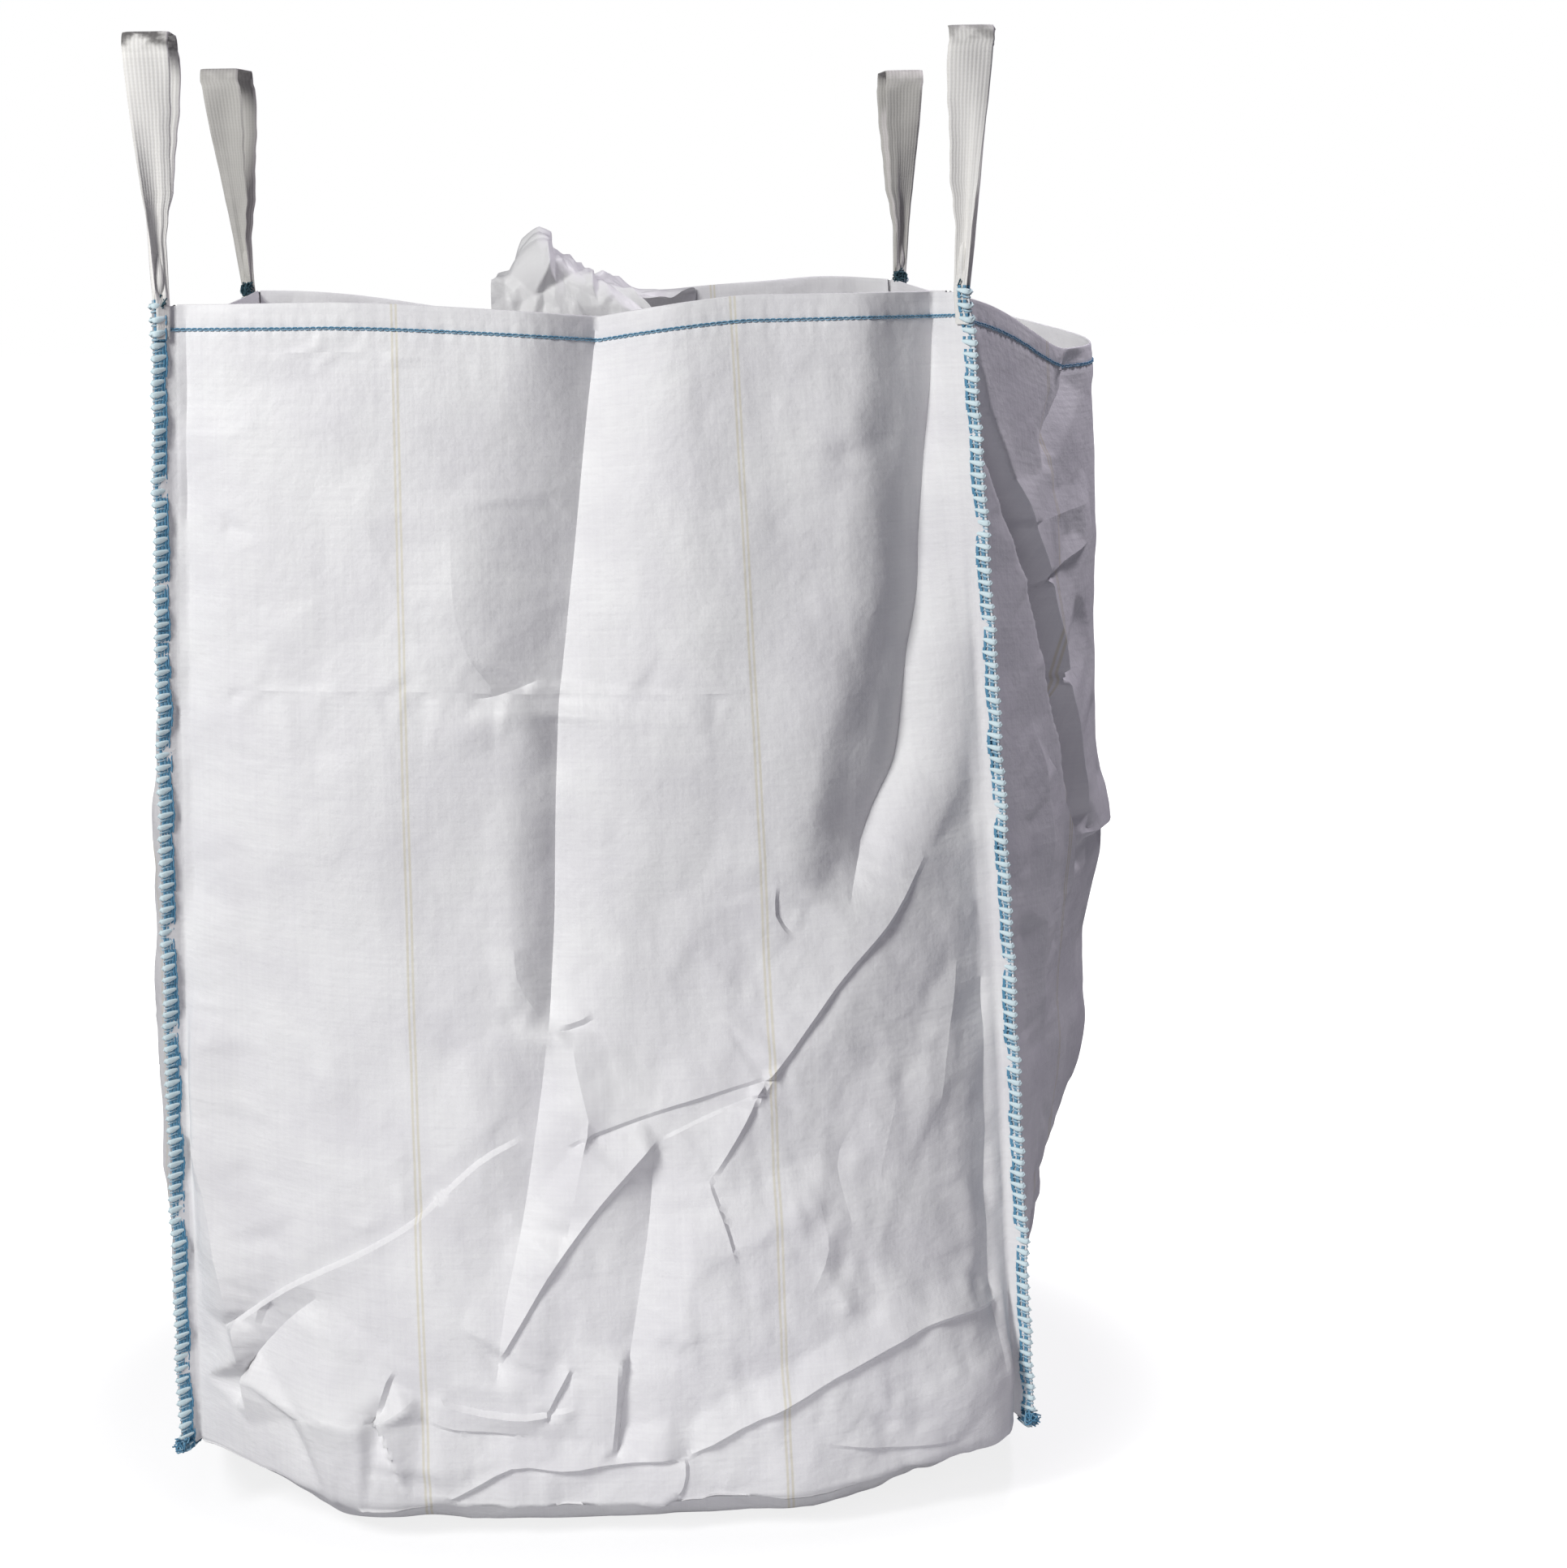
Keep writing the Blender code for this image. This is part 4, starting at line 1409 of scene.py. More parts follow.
class NodeTree:
    """Short ways to fill a node tree."""

    def __init__(self, tree: bpy.types.NodeTree) -> None:
        """Work on this tree, which starts empty."""
        self.tree = tree
        self.tree.nodes.clear()

    def add(self, kind: str, inputs: dict | None = None, **settings: str) -> bpy.types.Node:
        """Add a node.

        Args:
            kind: The node's type.
            inputs: Its inputs by name or number, as values or as sockets to link from.
            settings: Its own settings.

        Returns:
            The node.
        """
        node = self.tree.nodes.new(kind)
        for name, value in settings.items():
            setattr(node, name, value)
        for name, value in (inputs or {}).items():
            if isinstance(value, Socket):
                self.tree.links.new(value, node.inputs[name])
            else:
                node.inputs[name].default_value = value
        return node

    def math(self, operation: str, *values: float | Socket) -> Socket:
        """The result of one sum on numbers or sockets."""
        return self.add("ShaderNodeMath", dict(enumerate(values)), operation=operation).outputs[0]

    def vector(self, operation: str, *values: Colour | Socket) -> Socket:
        """The result of one sum on places or directions."""
        return self.add("ShaderNodeVectorMath", dict(enumerate(values)), operation=operation).outputs[0]

    def noise(self, place: Socket, scale: float, detail: float) -> Socket:
        """Cloudy unevenness from 0 to 1."""
        return self.add("ShaderNodeTexNoise", {"Vector": place, "Scale": scale, "Detail": detail}).outputs[0]

    def wave(self, place: Socket, length: float) -> Socket:
        """A sine wave of this length along one direction."""
        return self.math("SINE", self.math("MULTIPLY", place, 2.0 * math.pi / length))

    def bump(self, height: Socket, strength: float, distance: float) -> Socket:
        """The normals of a finely uneven face."""
        inputs = {"Height": height, "Strength": strength, "Distance": distance}
        return self.add("ShaderNodeBump", inputs).outputs[0]

    def ramp(self, low: float, high: float, value: Socket) -> Socket:
        """A soft step from 0 at low to 1 at high."""
        inputs = {"Value": value, "From Min": low, "From Max": high}
        return self.add("ShaderNodeMapRange", inputs, interpolation_type="SMOOTHSTEP").outputs["Result"]

    def cloth(self, colour: Socket, roughness: float, shine: float, normal: Socket | None = None) -> Socket:
        """The shader of thread or cloth.

        Args:
            colour: Its colour.
            roughness: How dull it is.
            shine: How strongly it reflects.
            normal: Its bump, if it has one.

        Returns:
            The shader.
        """
        inputs = {"Base Color": colour, "Roughness": roughness, "Specular IOR Level": shine}
        if normal:
            inputs["Normal"] = normal
        return self.add("ShaderNodeBsdfPrincipled", inputs).outputs[0]

    def mix(self, share: float | Socket, first: Colour | Socket, second: Colour | Socket) -> Socket:
        """A mix of two colours.

        Args:
            share: How much of the second, a number or a socket.
            first: A colour or a socket.
            second: A colour or a socket.

        Returns:
            The mixed colour.
        """
        colours = [(*c, 1.0) if isinstance(c, tuple) else c for c in (first, second)]
        inputs = {0: share, 6: colours[0], 7: colours[1]}
        return self.add("ShaderNodeMix", inputs, data_type="RGBA").outputs[2]


class Finish:
    """A finish made of shader nodes. Each kind lays out its own surface."""

    def surface(self, nodes: NodeTree) -> Socket:
        """Lay out the nodes of the surface and return its shader."""
        raise NotImplementedError

    def make(self, name: str) -> bpy.types.Material:
        """Make the finish.

        Args:
            name: The material's name.

        Returns:
            The material.
        """
        material = bpy.data.materials.new(name)
        material.use_nodes = True
        nodes = NodeTree(material.node_tree)
        nodes.add("ShaderNodeOutputMaterial", {"Surface": self.surface(nodes)})
        return material


class StitchTree:
    """The Geometry Nodes tree that sets stitches along a path."""

    def __init__(self) -> None:
        """Build the tree once for every seam."""
        self.tree = bpy.data.node_groups.new("stitches_along_path", "GeometryNodeTree")
        self.sockets: dict[str, str] = {}
        for name, kind in (
            ("Geometry", "NodeSocketGeometry"),
            ("Spacing", "NodeSocketFloat"),
            ("Looseness", "NodeSocketFloat"),
            ("Seed", "NodeSocketInt"),
            ("Stitch", "NodeSocketObject"),
            ("Thread", "NodeSocketMaterial"),
        ):
            socket = self.tree.interface.new_socket(name, in_out="INPUT", socket_type=kind)
            self.sockets[name] = socket.identifier
        self.tree.interface.new_socket("Geometry", in_out="OUTPUT", socket_type="NodeSocketGeometry")
        self.fill()

    def fill(self) -> None:
        """Lay the nodes out, from the path to the finished stitches."""
        nodes = NodeTree(self.tree)
        given = nodes.add("NodeGroupInput").outputs
        curve = nodes.add("GeometryNodeMeshToCurve", {0: given["Geometry"]}).outputs[0]
        cuts = {"Curve": curve, "Length": given["Spacing"]}
        spots = nodes.add("GeometryNodeResampleCurve", cuts, mode="LENGTH").outputs[0]
        out, run = (
            nodes.add("GeometryNodeInputNamedAttribute", {"Name": name}, data_type="FLOAT_VECTOR").outputs[0]
            for name in ("out", "run")
        )
        limits = {"Min": (-1.0, -1.0, -1.0), "Max": (1.0, 1.0, 1.0), "Seed": given["Seed"]}
        jitter = nodes.add("FunctionNodeRandomValue", limits, data_type="FLOAT_VECTOR").outputs[0]
        shrunk = {0: jitter, "Scale": given["Looseness"]}
        loose = nodes.add("ShaderNodeVectorMath", shrunk, operation="SCALE").outputs[0]
        turn = nodes.add(
            "FunctionNodeAxesToRotation",
            {"Primary Axis": out, "Secondary Axis": nodes.vector("ADD", run, loose)},
            primary_axis="Z",
            secondary_axis="X",
        ).outputs[0]
        size = nodes.vector("ADD", loose, (1.0, 1.0, 1.0))
        stitch = nodes.add("GeometryNodeObjectInfo", {"Object": given["Stitch"]}).outputs["Geometry"]
        each = {"Points": spots, "Instance": stitch, "Rotation": turn, "Scale": size}
        rows = nodes.add("GeometryNodeInstanceOnPoints", each).outputs[0]
        real = nodes.add("GeometryNodeRealizeInstances", {0: rows}).outputs[0]
        done = nodes.add("GeometryNodeSetMaterial", {"Geometry": real, "Material": given["Thread"]})
        nodes.add("NodeGroupOutput", {0: done.outputs[0]})


@dataclass(frozen=True)
class StitchRow:
    """A row of stitches along a path."""

    tree: StitchTree
    spacing: float
    looseness: float
    strands: tuple[Strand, ...]
    strand_steps: int = 3
    strand_sides: int = 6

    def stitch(self) -> bpy.types.Object:
        """One stitch, made of its strands.

        Returns:
            The stitch, in metres.
        """
        bundle = ThreadBundle()
        for strand in self.strands:
            path = smooth_path(np.array(strand.points), self.strand_steps) / 1000.0
            places = np.linspace(0.0, 1.0, len(path))
            widths = np.interp(places, np.linspace(0.0, 1.0, len(strand.widths)), strand.widths) / 1000.0
            bundle.add(path, widths, strand.dye, strand.flat, self.strand_sides)
        return place_piece("one_stitch", bundle.mesh("one_stitch"))

    def build(
        self, name: str, path: Array, out: Array, seed: int, material: bpy.types.Material
    ) -> bpy.types.Object:
        """Set the stitches and make them one plain mesh.

        Args:
            name: The piece's name.
            path: The points that the row follows.
            out: Which way the stitches stand at each point.
            seed: Which unevenness they get.
            material: The thread's finish.

        Returns:
            The piece.
        """
        stitch = self.stitch()
        mesh = bpy.data.meshes.new(name + "_path")
        edges = [(index, index + 1) for index in range(len(path) - 1)]
        mesh.from_pydata(path.tolist(), edges, [])
        run = unit(np.gradient(path, axis=0))
        for word, vectors in (("out", unit(out)), ("run", run)):
            layer = mesh.attributes.new(word, "FLOAT_VECTOR", "POINT")
            layer.data.foreach_set("vector", vectors.astype(np.float32).ravel())
        guide = place_piece(name + "_path", mesh)
        modifier = guide.modifiers.new("stitches", "NODES")
        modifier.node_group = self.tree.tree
        given = (self.spacing, self.looseness, seed, stitch, material)
        for word, value in zip(("Spacing", "Looseness", "Seed", "Stitch", "Thread"), given):
            modifier[self.tree.sockets[word]] = value
        graph = bpy.context.evaluated_depsgraph_get()
        graph.update()
        done = bpy.data.meshes.new_from_object(guide.evaluated_get(graph), depsgraph=graph)
        bpy.data.objects.remove(guide)
        bpy.data.objects.remove(stitch)
        done.name = name
        return place_piece(name, done)


# One overlock stitch in millimetres: along the seam, off the fin's middle, out from its edge
OVERLOCK: tuple[Strand, ...] = (
    # The pale looper thread: a broad rung on each face, turned over the edge
    Strand(
        ((-2.5, 1.5, -15.0), (-1.6, 2.0, -10.0), (-0.4, 2.2, -4.0), (0.4, 1.5, 0.4), (0.6, 0.0, 1.4),
         (0.4, -1.5, 0.4), (-0.4, -2.2, -4.0), (-1.6, -2.0, -10.0), (-2.5, -1.5, -15.0)),
        (1.6, 2.6, 3.6, 3.4, 3.3, 3.4, 3.6, 2.6, 1.6), 0.0, 0.32,
    ),
    Strand(
        ((5.4, 1.2, -13.0), (4.6, 1.4, -8.0), (5.8, 1.4, -3.0), (6.4, 0.8, 0.2), (6.5, -0.8, 0.2),
         (5.8, -1.4, -3.0), (4.6, -1.4, -8.0), (5.4, -1.2, -13.0)),
        (0.7, 0.9, 1.0, 1.1, 1.1, 1.0, 0.9, 0.7), 0.45, 0.6,
    ),
    # The blue thread under it
    Strand(((-7.2, 1.2, -11.8), (0.0, 1.3, -12.3), (7.2, 1.2, -11.8)), (2.2, 2.2, 2.2), 1.0, 0.35),
    Strand(((-7.2, 1.2, -7.6), (0.0, 1.2, -8.2), (7.2, 1.2, -7.6)), (2.3, 2.3, 2.3), 0.85, 0.32),
    Strand(((-7.2, 1.1, -3.4), (0.0, 1.1, -3.8), (7.2, 1.1, -3.4)), (2.2, 2.2, 2.2), 0.9, 0.32),
    Strand(((-7.2, 1.3, -15.4), (-3.6, 1.9, -14.8), (0.0, 1.6, -15.6), (3.6, 1.9, -14.8), (7.2, 1.3, -15.4)),
           (0.9, 1.2, 0.9), 1.0, 0.7),
    Strand(((-7.2, -1.2, -11.8), (0.0, -1.3, -12.3), (7.2, -1.2, -11.8)), (2.2, 2.2, 2.2), 1.0, 0.35),
    Strand(((-7.2, -1.1, -5.0), (0.0, -1.1, -5.4), (7.2, -1.1, -5.0)), (2.6, 2.6, 2.6), 0.85, 0.30),
)

# One link of the chain stitch below the hem, with its needle hole side at the start
CHAIN_LINK: tuple[Strand, ...] = (
    Strand(((-3.8, 0.0, 0.5), (-1.5, 1.15, 0.9), (2.0, 1.0, 1.0), (3.3, 0.0, 0.6)),
           (0.6, 1.0, 0.8), 0.9, 0.8),
    Strand(((-3.8, 0.0, 0.5), (-1.5, -1.15, 0.9), (2.0, -1.0, 1.0), (3.3, 0.0, 0.6)),
           (0.6, 1.0, 0.8), 0.7, 0.8),
)


@dataclass(frozen=True)
class ThreadKnot:
    """A small tangle of loose thread where a seam ends."""

    centre: tuple[float, float, float]
    size: tuple[float, float, float]
    loops: int
    seed: int
    radius: float = 0.0009
    bends: int = 5

    def build(self, name: str, material: bpy.types.Material) -> bpy.types.Object:
        """Make the tangle.

        Args:
            name: The piece's name.
            material: The thread's finish.

        Returns:
            The piece.
        """
        rng = np.random.default_rng(self.seed)
        bundle = ThreadBundle()
        for _ in range(self.loops):
            places = rng.uniform(-1.0, 1.0, (self.bends, 3))
            places = unit(places) * rng.uniform(0.55, 1.0, (self.bends, 1))
            path = smooth_path(places, 4) * np.array(self.size) + np.array(self.centre)
            bundle.add(path, np.full(len(path), self.radius), float(rng.uniform(0.6, 1.0)), 1.0, 5)
        mesh = bundle.mesh(name)
        mesh.materials.append(material)
        return place_piece(name, mesh)


@dataclass(frozen=True)
class LoopForm:
    """How one lifting loop stands: which corner, the height, lean and stance of its legs, and how dark the
    painted shade over its top is.
    """

    name: str
    side: Side
    wall: Wall
    top: float
    lean: float
    aside: float
    soil: float


LOOPS: tuple[LoopForm, ...] = (
    LoopForm("lifting_loop_front_left", Side.LEFT, Wall.FRONT, 0.296, -0.011, -0.003, 1.0),
    LoopForm("lifting_loop_front_right", Side.RIGHT, Wall.FRONT, 0.290, 0.021, 0.011, 0.6),
    LoopForm("lifting_loop_back_left", Side.LEFT, Wall.BACK, 0.296, -0.024, -0.009, 0.2),
    LoopForm("lifting_loop_back_right", Side.RIGHT, Wall.BACK, 0.280, 0.013, 0.004, 0.2),
)


@dataclass(frozen=True)
class LiftingLoop:
    """A loop of flat webbing whose two tails are sewn over the top of a corner fin."""

    shape: BagShape
    form: LoopForm
    width: float = 0.050
    thickness: float = 0.0022
    tail_width: float = 0.017
    tail_length: float = 0.036
    tail_offset: float = 0.0145
    layer: float = 0.0032
    half_spread: float = 0.055
    corner_radius: float = 0.016
    spread_to: float = 0.290
    widths: Table = (
        (0.000, 0.0170), (0.069, 0.0200), (0.098, 0.0260), (0.128, 0.0335), (0.157, 0.0365), (0.187, 0.0410),
        (0.216, 0.0460), (0.260, 0.0500),
    )
    legs: int = 44
    strips: int = 14
    cup: float = 0.0080
    ripple: float = 0.0016
    gather: float = 0.0045
    gather_at: float = 0.22
    gather_reach: float = 0.10
    thin_edge: float = 0.55

    def leg(self, which: float, lean: float) -> list[Section]:
        """Sections of one leg, from its sewn tail to the start of its upper corner.

        Args:
            which: 1 beside the long cloth and -1 beside the side cloth.
            lean: How far its top leans to the side.

        Returns:
            The centre, the direction across, the normal, the width and the height of each section.
        """
        side = self.form.side.value
        facing = self.form.wall.facing
        fin = unit(np.array([side * self.shape.fin_sideways, facing, 0.0]))
        face = unit(np.array([-side, facing * self.shape.fin_sideways, 0.0])) * which
        square = np.array([0.0, facing * which, 0.0])
        straight = self.form.top - self.corner_radius
        tail = np.linspace(-self.tail_length, 0.0, 9)[:-1]
        length = self.shape.length()
        sections = []
        for height in np.concatenate([tail, np.linspace(0.0, straight, self.legs)[:-1]]):
            width = float(read_table(self.widths, np.array(height)))
            turn = (width - self.tail_width) / (self.width - self.tail_width)
            spread = self.half_spread * float(ease(0.010, self.spread_to, height))
            sewn = min(height, 0.0)
            seam = self.shape.seam(self.form.side, self.form.wall, np.array(-sewn / length))
            normal = unit(lerp(face, square, turn))
            across = np.array([-normal[1], normal[0], 0.0])
            centre = seam + fin * self.tail_offset * (1.0 - turn) + normal * self.layer + square * spread
            rise = np.array([lean * max(height, 0.0) / self.form.top, 0.0, height - sewn])
            sections.append((centre + rise, across, normal, width, height))
        return sections

    def arch(self, which: float, lean: float) -> list[Section]:
        """Sections around one upper corner, from the leg to the middle of the flat top.

        Args:
            which: 1 beside the long cloth and -1 beside the side cloth.
            lean: How far the corner leans to the side.

        Returns:
            The same five values for each section as for a leg.
        """
        facing = self.form.wall.facing
        corner = self.shape.seam(self.form.side, self.form.wall, np.array(0.0))
        outward = np.array([0.0, facing * which, 0.0])
        up = np.array([0.0, 0.0, 1.0])
        across = np.array([-outward[1], 0.0, 0.0])
        middle = corner + up * (self.form.top - self.corner_radius) + np.array([lean, 0.0, 0.0])
        middle = middle + outward * (self.half_spread - self.corner_radius)
        sections = []
        for angle in np.radians(np.linspace(0.0, 90.0, 10)):
            normal = outward * math.cos(angle) + up * math.sin(angle)
            centre = middle + normal * self.corner_radius
            sections.append((centre, across, normal, self.width, self.form.top))
        return sections

    def outline(self, width: float, height: float, seed: float) -> Array:
        """The cross-section: how far across and off its plane each point lies.

        Args:
            width: How wide the webbing is there.
            height: How high above the hem.
            seed: Makes each leg a little different.

        Returns:
            Pairs of numbers, once around.
        """
        across = np.linspace(-0.5, 0.5, self.strips + 1)
        narrow = 1.0 - (width - self.tail_width) / (self.width - self.tail_width)
        bend = self.cup * narrow * float(ease(0.0, 0.030, height)) * (1.0 - 4.0 * across**2)
        roll = self.ripple * np.sin(across * 5.0 + height * 31.0 + seed) * (1.0 - 0.6 * narrow)
        roll = roll * float(ease(0.0, 0.05, height)) * float(ease(0.0, 0.03, self.form.top - height))
        fold = self.gather * np.exp(-(((across - self.gather_at) / self.gather_reach) ** 2)) * narrow
        fold = fold * float(ease(0.0, 0.02, height))
        off = -bend + roll + fold
        edge = 1.0 - self.thin_edge * np.abs(2.0 * across) ** 10
        top = np.stack([across * width, off + self.thickness / 2.0 * edge], axis=1)
        under = np.stack([across * width, off - self.thickness / 2.0 * edge], axis=1)
        return np.vstack([top, under[::-1]])

    def build(self, material: bpy.types.Material) -> bpy.types.Object:
        """Make the loop.

        Args:
            material: Its finish.

        Returns:
            The piece.
        """
        near, far = self.form.lean, self.form.lean + self.form.aside
        outer = self.leg(1.0, near) + self.arch(1.0, near)
        inner = self.leg(-1.0, far) + self.arch(-1.0, far)
        rings, top_shades = [], []
        for sections, sense in ((outer, 1.0), (inner[::-1], -1.0)):
            for centre, across, normal, width, height in sections:
                outline = self.outline(width, height, 1.7 * sense + self.form.top * 40.0)
                ring = centre + across * outline[:, :1] * sense + normal * outline[:, 1:]
                rings.append(ring)
                # Painted shade: the top of the loop is darkened, standing for the shadow of the bar it hung
                # from and of its own underside
                rise = centre[2] - self.shape.rim_height - self.form.top
                top_shade_share = float(ease(-0.019, -0.011, rise)) * self.form.soil
                top_shades.append(np.full(len(ring), top_shade_share))
        points = np.array(rings)
        count = points.shape[1]
        run = distance_along(points[:, 0])
        columns = np.concatenate([np.linspace(-0.5, 0.5, count // 2), np.linspace(0.5, -0.5, count // 2)])
        places = np.stack(np.meshgrid(columns * self.width, run), axis=-1)
        cloth = ClothMesh()
        numbers = cloth.add(points, places)
        cloth.join(np.hstack([numbers, numbers[:, :1]]))
        half = count // 2
        for row, flip in ((0, False), (-1, True)):
            cloth.join(np.vstack([numbers[row, :half], numbers[row, :half - 1 : -1]]), flip=flip)
        piece = cloth.build(self.form.name, material)
        # The painted shade over the top, kept on each point for the webbing's finish
        layer = piece.data.attributes.new("soil", "FLOAT", "POINT")
        layer.data.foreach_set("value", np.concatenate(top_shades).astype(np.float32))
        return piece


# Folds on the front of the crumpled cloth, also in millimetres
CRUMPLES: tuple[Crease, ...] = (
    crease((60, 30, 80, 19), (-63, 1500), (-63, 1470), (-58, 1442), (-40, 1415), fade=15),
    crease((20, -6, 30, -6), (-42, 1415), (-75, 1400), (-100, 1395), fade=15),
    crease((30, 7, 30, -3), (20, 1450), (5, 1425), (12, 1395), fade=15),
    crease((25, -5, 25, -5), (-120, 1470), (-105, 1440), (-118, 1405), fade=15),
)


@dataclass(frozen=True)
class CrumpledCloth:
    """The thin cloth that is sewn inside the back hem and folded up through the mouth."""

    shape: BagShape
    left: float = -0.25
    right: float = 0.375
    columns: int = 150
    rows: int = 190
    middle_x: float = -0.060
    slope: float = 0.80
    shoulder: float = 0.050
    shoulder_reach: float = 0.071
    inset: float = 0.009
    valley: float = 0.020
    valley_reach: float = 0.115
    sewn: tuple[float, ...] = (0.055, 0.020, 0.0)
    full_height: float = 0.08
    steps: int = 24
    line: tuple[tuple[float, float, float], ...] = (
        (0.395, 1.428, 0.84),
        (0.360, 1.446, 0.62),
        (0.325, 1.458, 0.46),
        (0.290, 1.450, 0.48),
        (0.262, 1.432, 0.60),
        (0.255, 1.372, 0.74),
        (0.270, 1.312, 0.84),
    )

    def build(self, material: bpy.types.Material) -> bpy.types.Object:
        """Make the cloth.

        Args:
            material: Its finish.

        Returns:
            The piece.
        """
        across = np.linspace(self.left, self.right, self.columns + 1)
        rows = [self.shape.long_point(Wall.BACK, np.array(share), across) for share in self.sewn]
        for row in rows:
            row[:, 1] -= self.inset + self.valley * np.clip(-row[:, 0] / self.valley_reach, 0.0, 1.0)
        rim = rows[-1]
        for y, height, narrow in self.line:
            x = lerp(self.middle_x, rim[:, 0], np.where(rim[:, 0] < self.middle_x, 1.0, narrow))
            fall = np.maximum(0.0, x - self.middle_x) * self.slope
            left = np.clip((self.middle_x - x) / self.shoulder_reach, 0.0, 1.2)
            fall = fall + self.shoulder * left**1.7
            z = height - fall * max(0.0, height - self.shape.rim_height) / self.full_height
            rows.append(np.stack([x, np.full(len(x), y), z], axis=-1))
        path = smooth_path(np.array(rows).reshape(len(rows), -1), self.steps)
        fine = path.reshape(len(path), -1, 3)
        places = np.linspace(0.0, len(fine) - 1.0, self.rows + 1)
        low = np.minimum(places.astype(int), len(fine) - 2)
        points = lerp(fine[low], fine[low + 1], (places - low)[:, None, None])
        along = distance_along(points[:, self.columns // 2])
        half = (rim[-1, 0] - rim[0, 0]) / 2.0
        flat = np.stack(np.meshgrid(np.linspace(-half, half, self.columns + 1), along), axis=-1)
        u, v = flat[..., 0], flat[..., 1]
        relief = soften(Facets(0.050, 0.0085, 31).relief(u, v), 1)
        relief = relief + Facets(0.020, 0.0040, 32).relief(u, v) + 0.006 * wander(u, v, 0.07, 33)
        front = ease(0.345, 0.320, points[..., 1])
        x, z = points[..., 0], points[..., 2]
        folds = FoldNet(CRUMPLES, seed=34).relief(x, z) * ease(1.496, 1.480, z)
        relief = relief * lerp(1.0, 0.7, front) + folds * front
        free = ease(0.090, 0.150, v)
        normals = grid_normals(points, np.zeros(points.shape) + np.array([0.0, -0.2, 1.0]))
        points = points + normals * (relief * free)[..., None]
        LOG.info("crumpled cloth is %.3f by %.3f m flat", 2.0 * half, along[-1])
        cloth = ClothMesh()
        cloth.join(cloth.add(points, flat))
        return cloth.build("crumpled_top_sheet", material)


@dataclass(frozen=True)
class WovenFinish(Finish):
    """White woven tape with thin conductive lines in it."""

    light: Colour = (0.81, 0.81, 0.815)
    dark: Colour = (0.725, 0.718, 0.740)
    line: Colour = (0.60, 0.54, 0.32)
    line_at: float = 0.197
    line_gap: float = 0.0026
    line_strength: float = 0.42
    tape: float = 0.0026
    rib: float = 0.0092
    streaks: tuple[tuple[float, Colour], ...] = ((3.0, (300.0, 5.0, 1.0)), (8.0, (5.0, 300.0, 1.0)))
    roughness: float = 0.55
    sheer: float = 0.0

    def surface(self, nodes: NodeTree) -> Socket:
        """Lay out the weave, its conductive lines and its fine unevenness.

        Args:
            nodes: The material's tree.

        Returns:
            The shader.
        """
        place = nodes.add("ShaderNodeUVMap", uv_map="cloth").outputs[0]
        across, along, _ = nodes.add("ShaderNodeSeparateXYZ", {0: place}).outputs
        streaks = []
        for seed, scale in self.streaks:
            moved = nodes.vector("ADD", nodes.vector("MULTIPLY", place, scale), (seed, seed, seed))
            streaks.append(nodes.noise(moved, 1.0, 2.0))
        weave = nodes.math("MULTIPLY", nodes.wave(across, self.tape), nodes.wave(along, self.tape))
        level = nodes.math("MULTIPLY_ADD", weave, 0.10, nodes.math("ADD", *streaks))
        off = nodes.math("ABSOLUTE", nodes.math("SUBTRACT", nodes.math("ABSOLUTE", across), self.line_at))
        off = nodes.math("ABSOLUTE", nodes.math("SUBTRACT", off, self.line_gap))
        lines = nodes.math("SUBTRACT", 1.0, nodes.ramp(0.0004, 0.0022, off))
        cloudy = nodes.noise(place, 9.0, 3.0)
        tone = nodes.math("ADD", nodes.math("MULTIPLY", level, 0.17), nodes.math("MULTIPLY", cloudy, 0.6))
        colour = nodes.mix(nodes.ramp(0.28, 0.64, tone), self.dark, self.light)
        colour = nodes.mix(nodes.math("MULTIPLY", lines, self.line_strength), colour, self.line)
        ribs = nodes.math("MULTIPLY", nodes.wave(along, self.rib), nodes.ramp(0.40, 0.70, cloudy))
        fine = nodes.math("MULTIPLY_ADD", ribs, 0.05, nodes.noise(place, 75.0, 3.0))
        bump = nodes.bump(nodes.math("MULTIPLY_ADD", level, 0.12, fine), 0.55, 0.0022)
        shader = nodes.cloth(colour, self.roughness, 0.3, bump)
        if not self.sheer:
            return shader
        through = nodes.add("ShaderNodeBsdfTranslucent", {"Color": colour, "Normal": bump}).outputs[0]
        return nodes.add("ShaderNodeMixShader", {0: self.sheer, 1: shader, 2: through}).outputs[0]


@dataclass(frozen=True)
class ThreadFinish(Finish):
    """Overlock thread, from pale to dyed blue."""

    pale: Colour = (0.66, 0.80, 0.84)
    deep: Colour = (0.10, 0.27, 0.42)
    roughness: float = 0.6

    def surface(self, nodes: NodeTree) -> Socket:
        """Lay out the thread's colour by its dye, a little uneven.

        Args:
            nodes: The material's tree.

        Returns:
            The shader.
        """
        dye = nodes.add("ShaderNodeAttribute", attribute_name="dye").outputs["Fac"]
        noise = nodes.noise(nodes.add("ShaderNodeTexCoord").outputs["Object"], 160.0, 2.0)
        share = nodes.math("ADD", dye, nodes.math("MULTIPLY_ADD", noise, 0.4, -0.2))
        return nodes.cloth(nodes.mix(nodes.ramp(0.0, 1.0, share), self.pale, self.deep), self.roughness, 0.2)


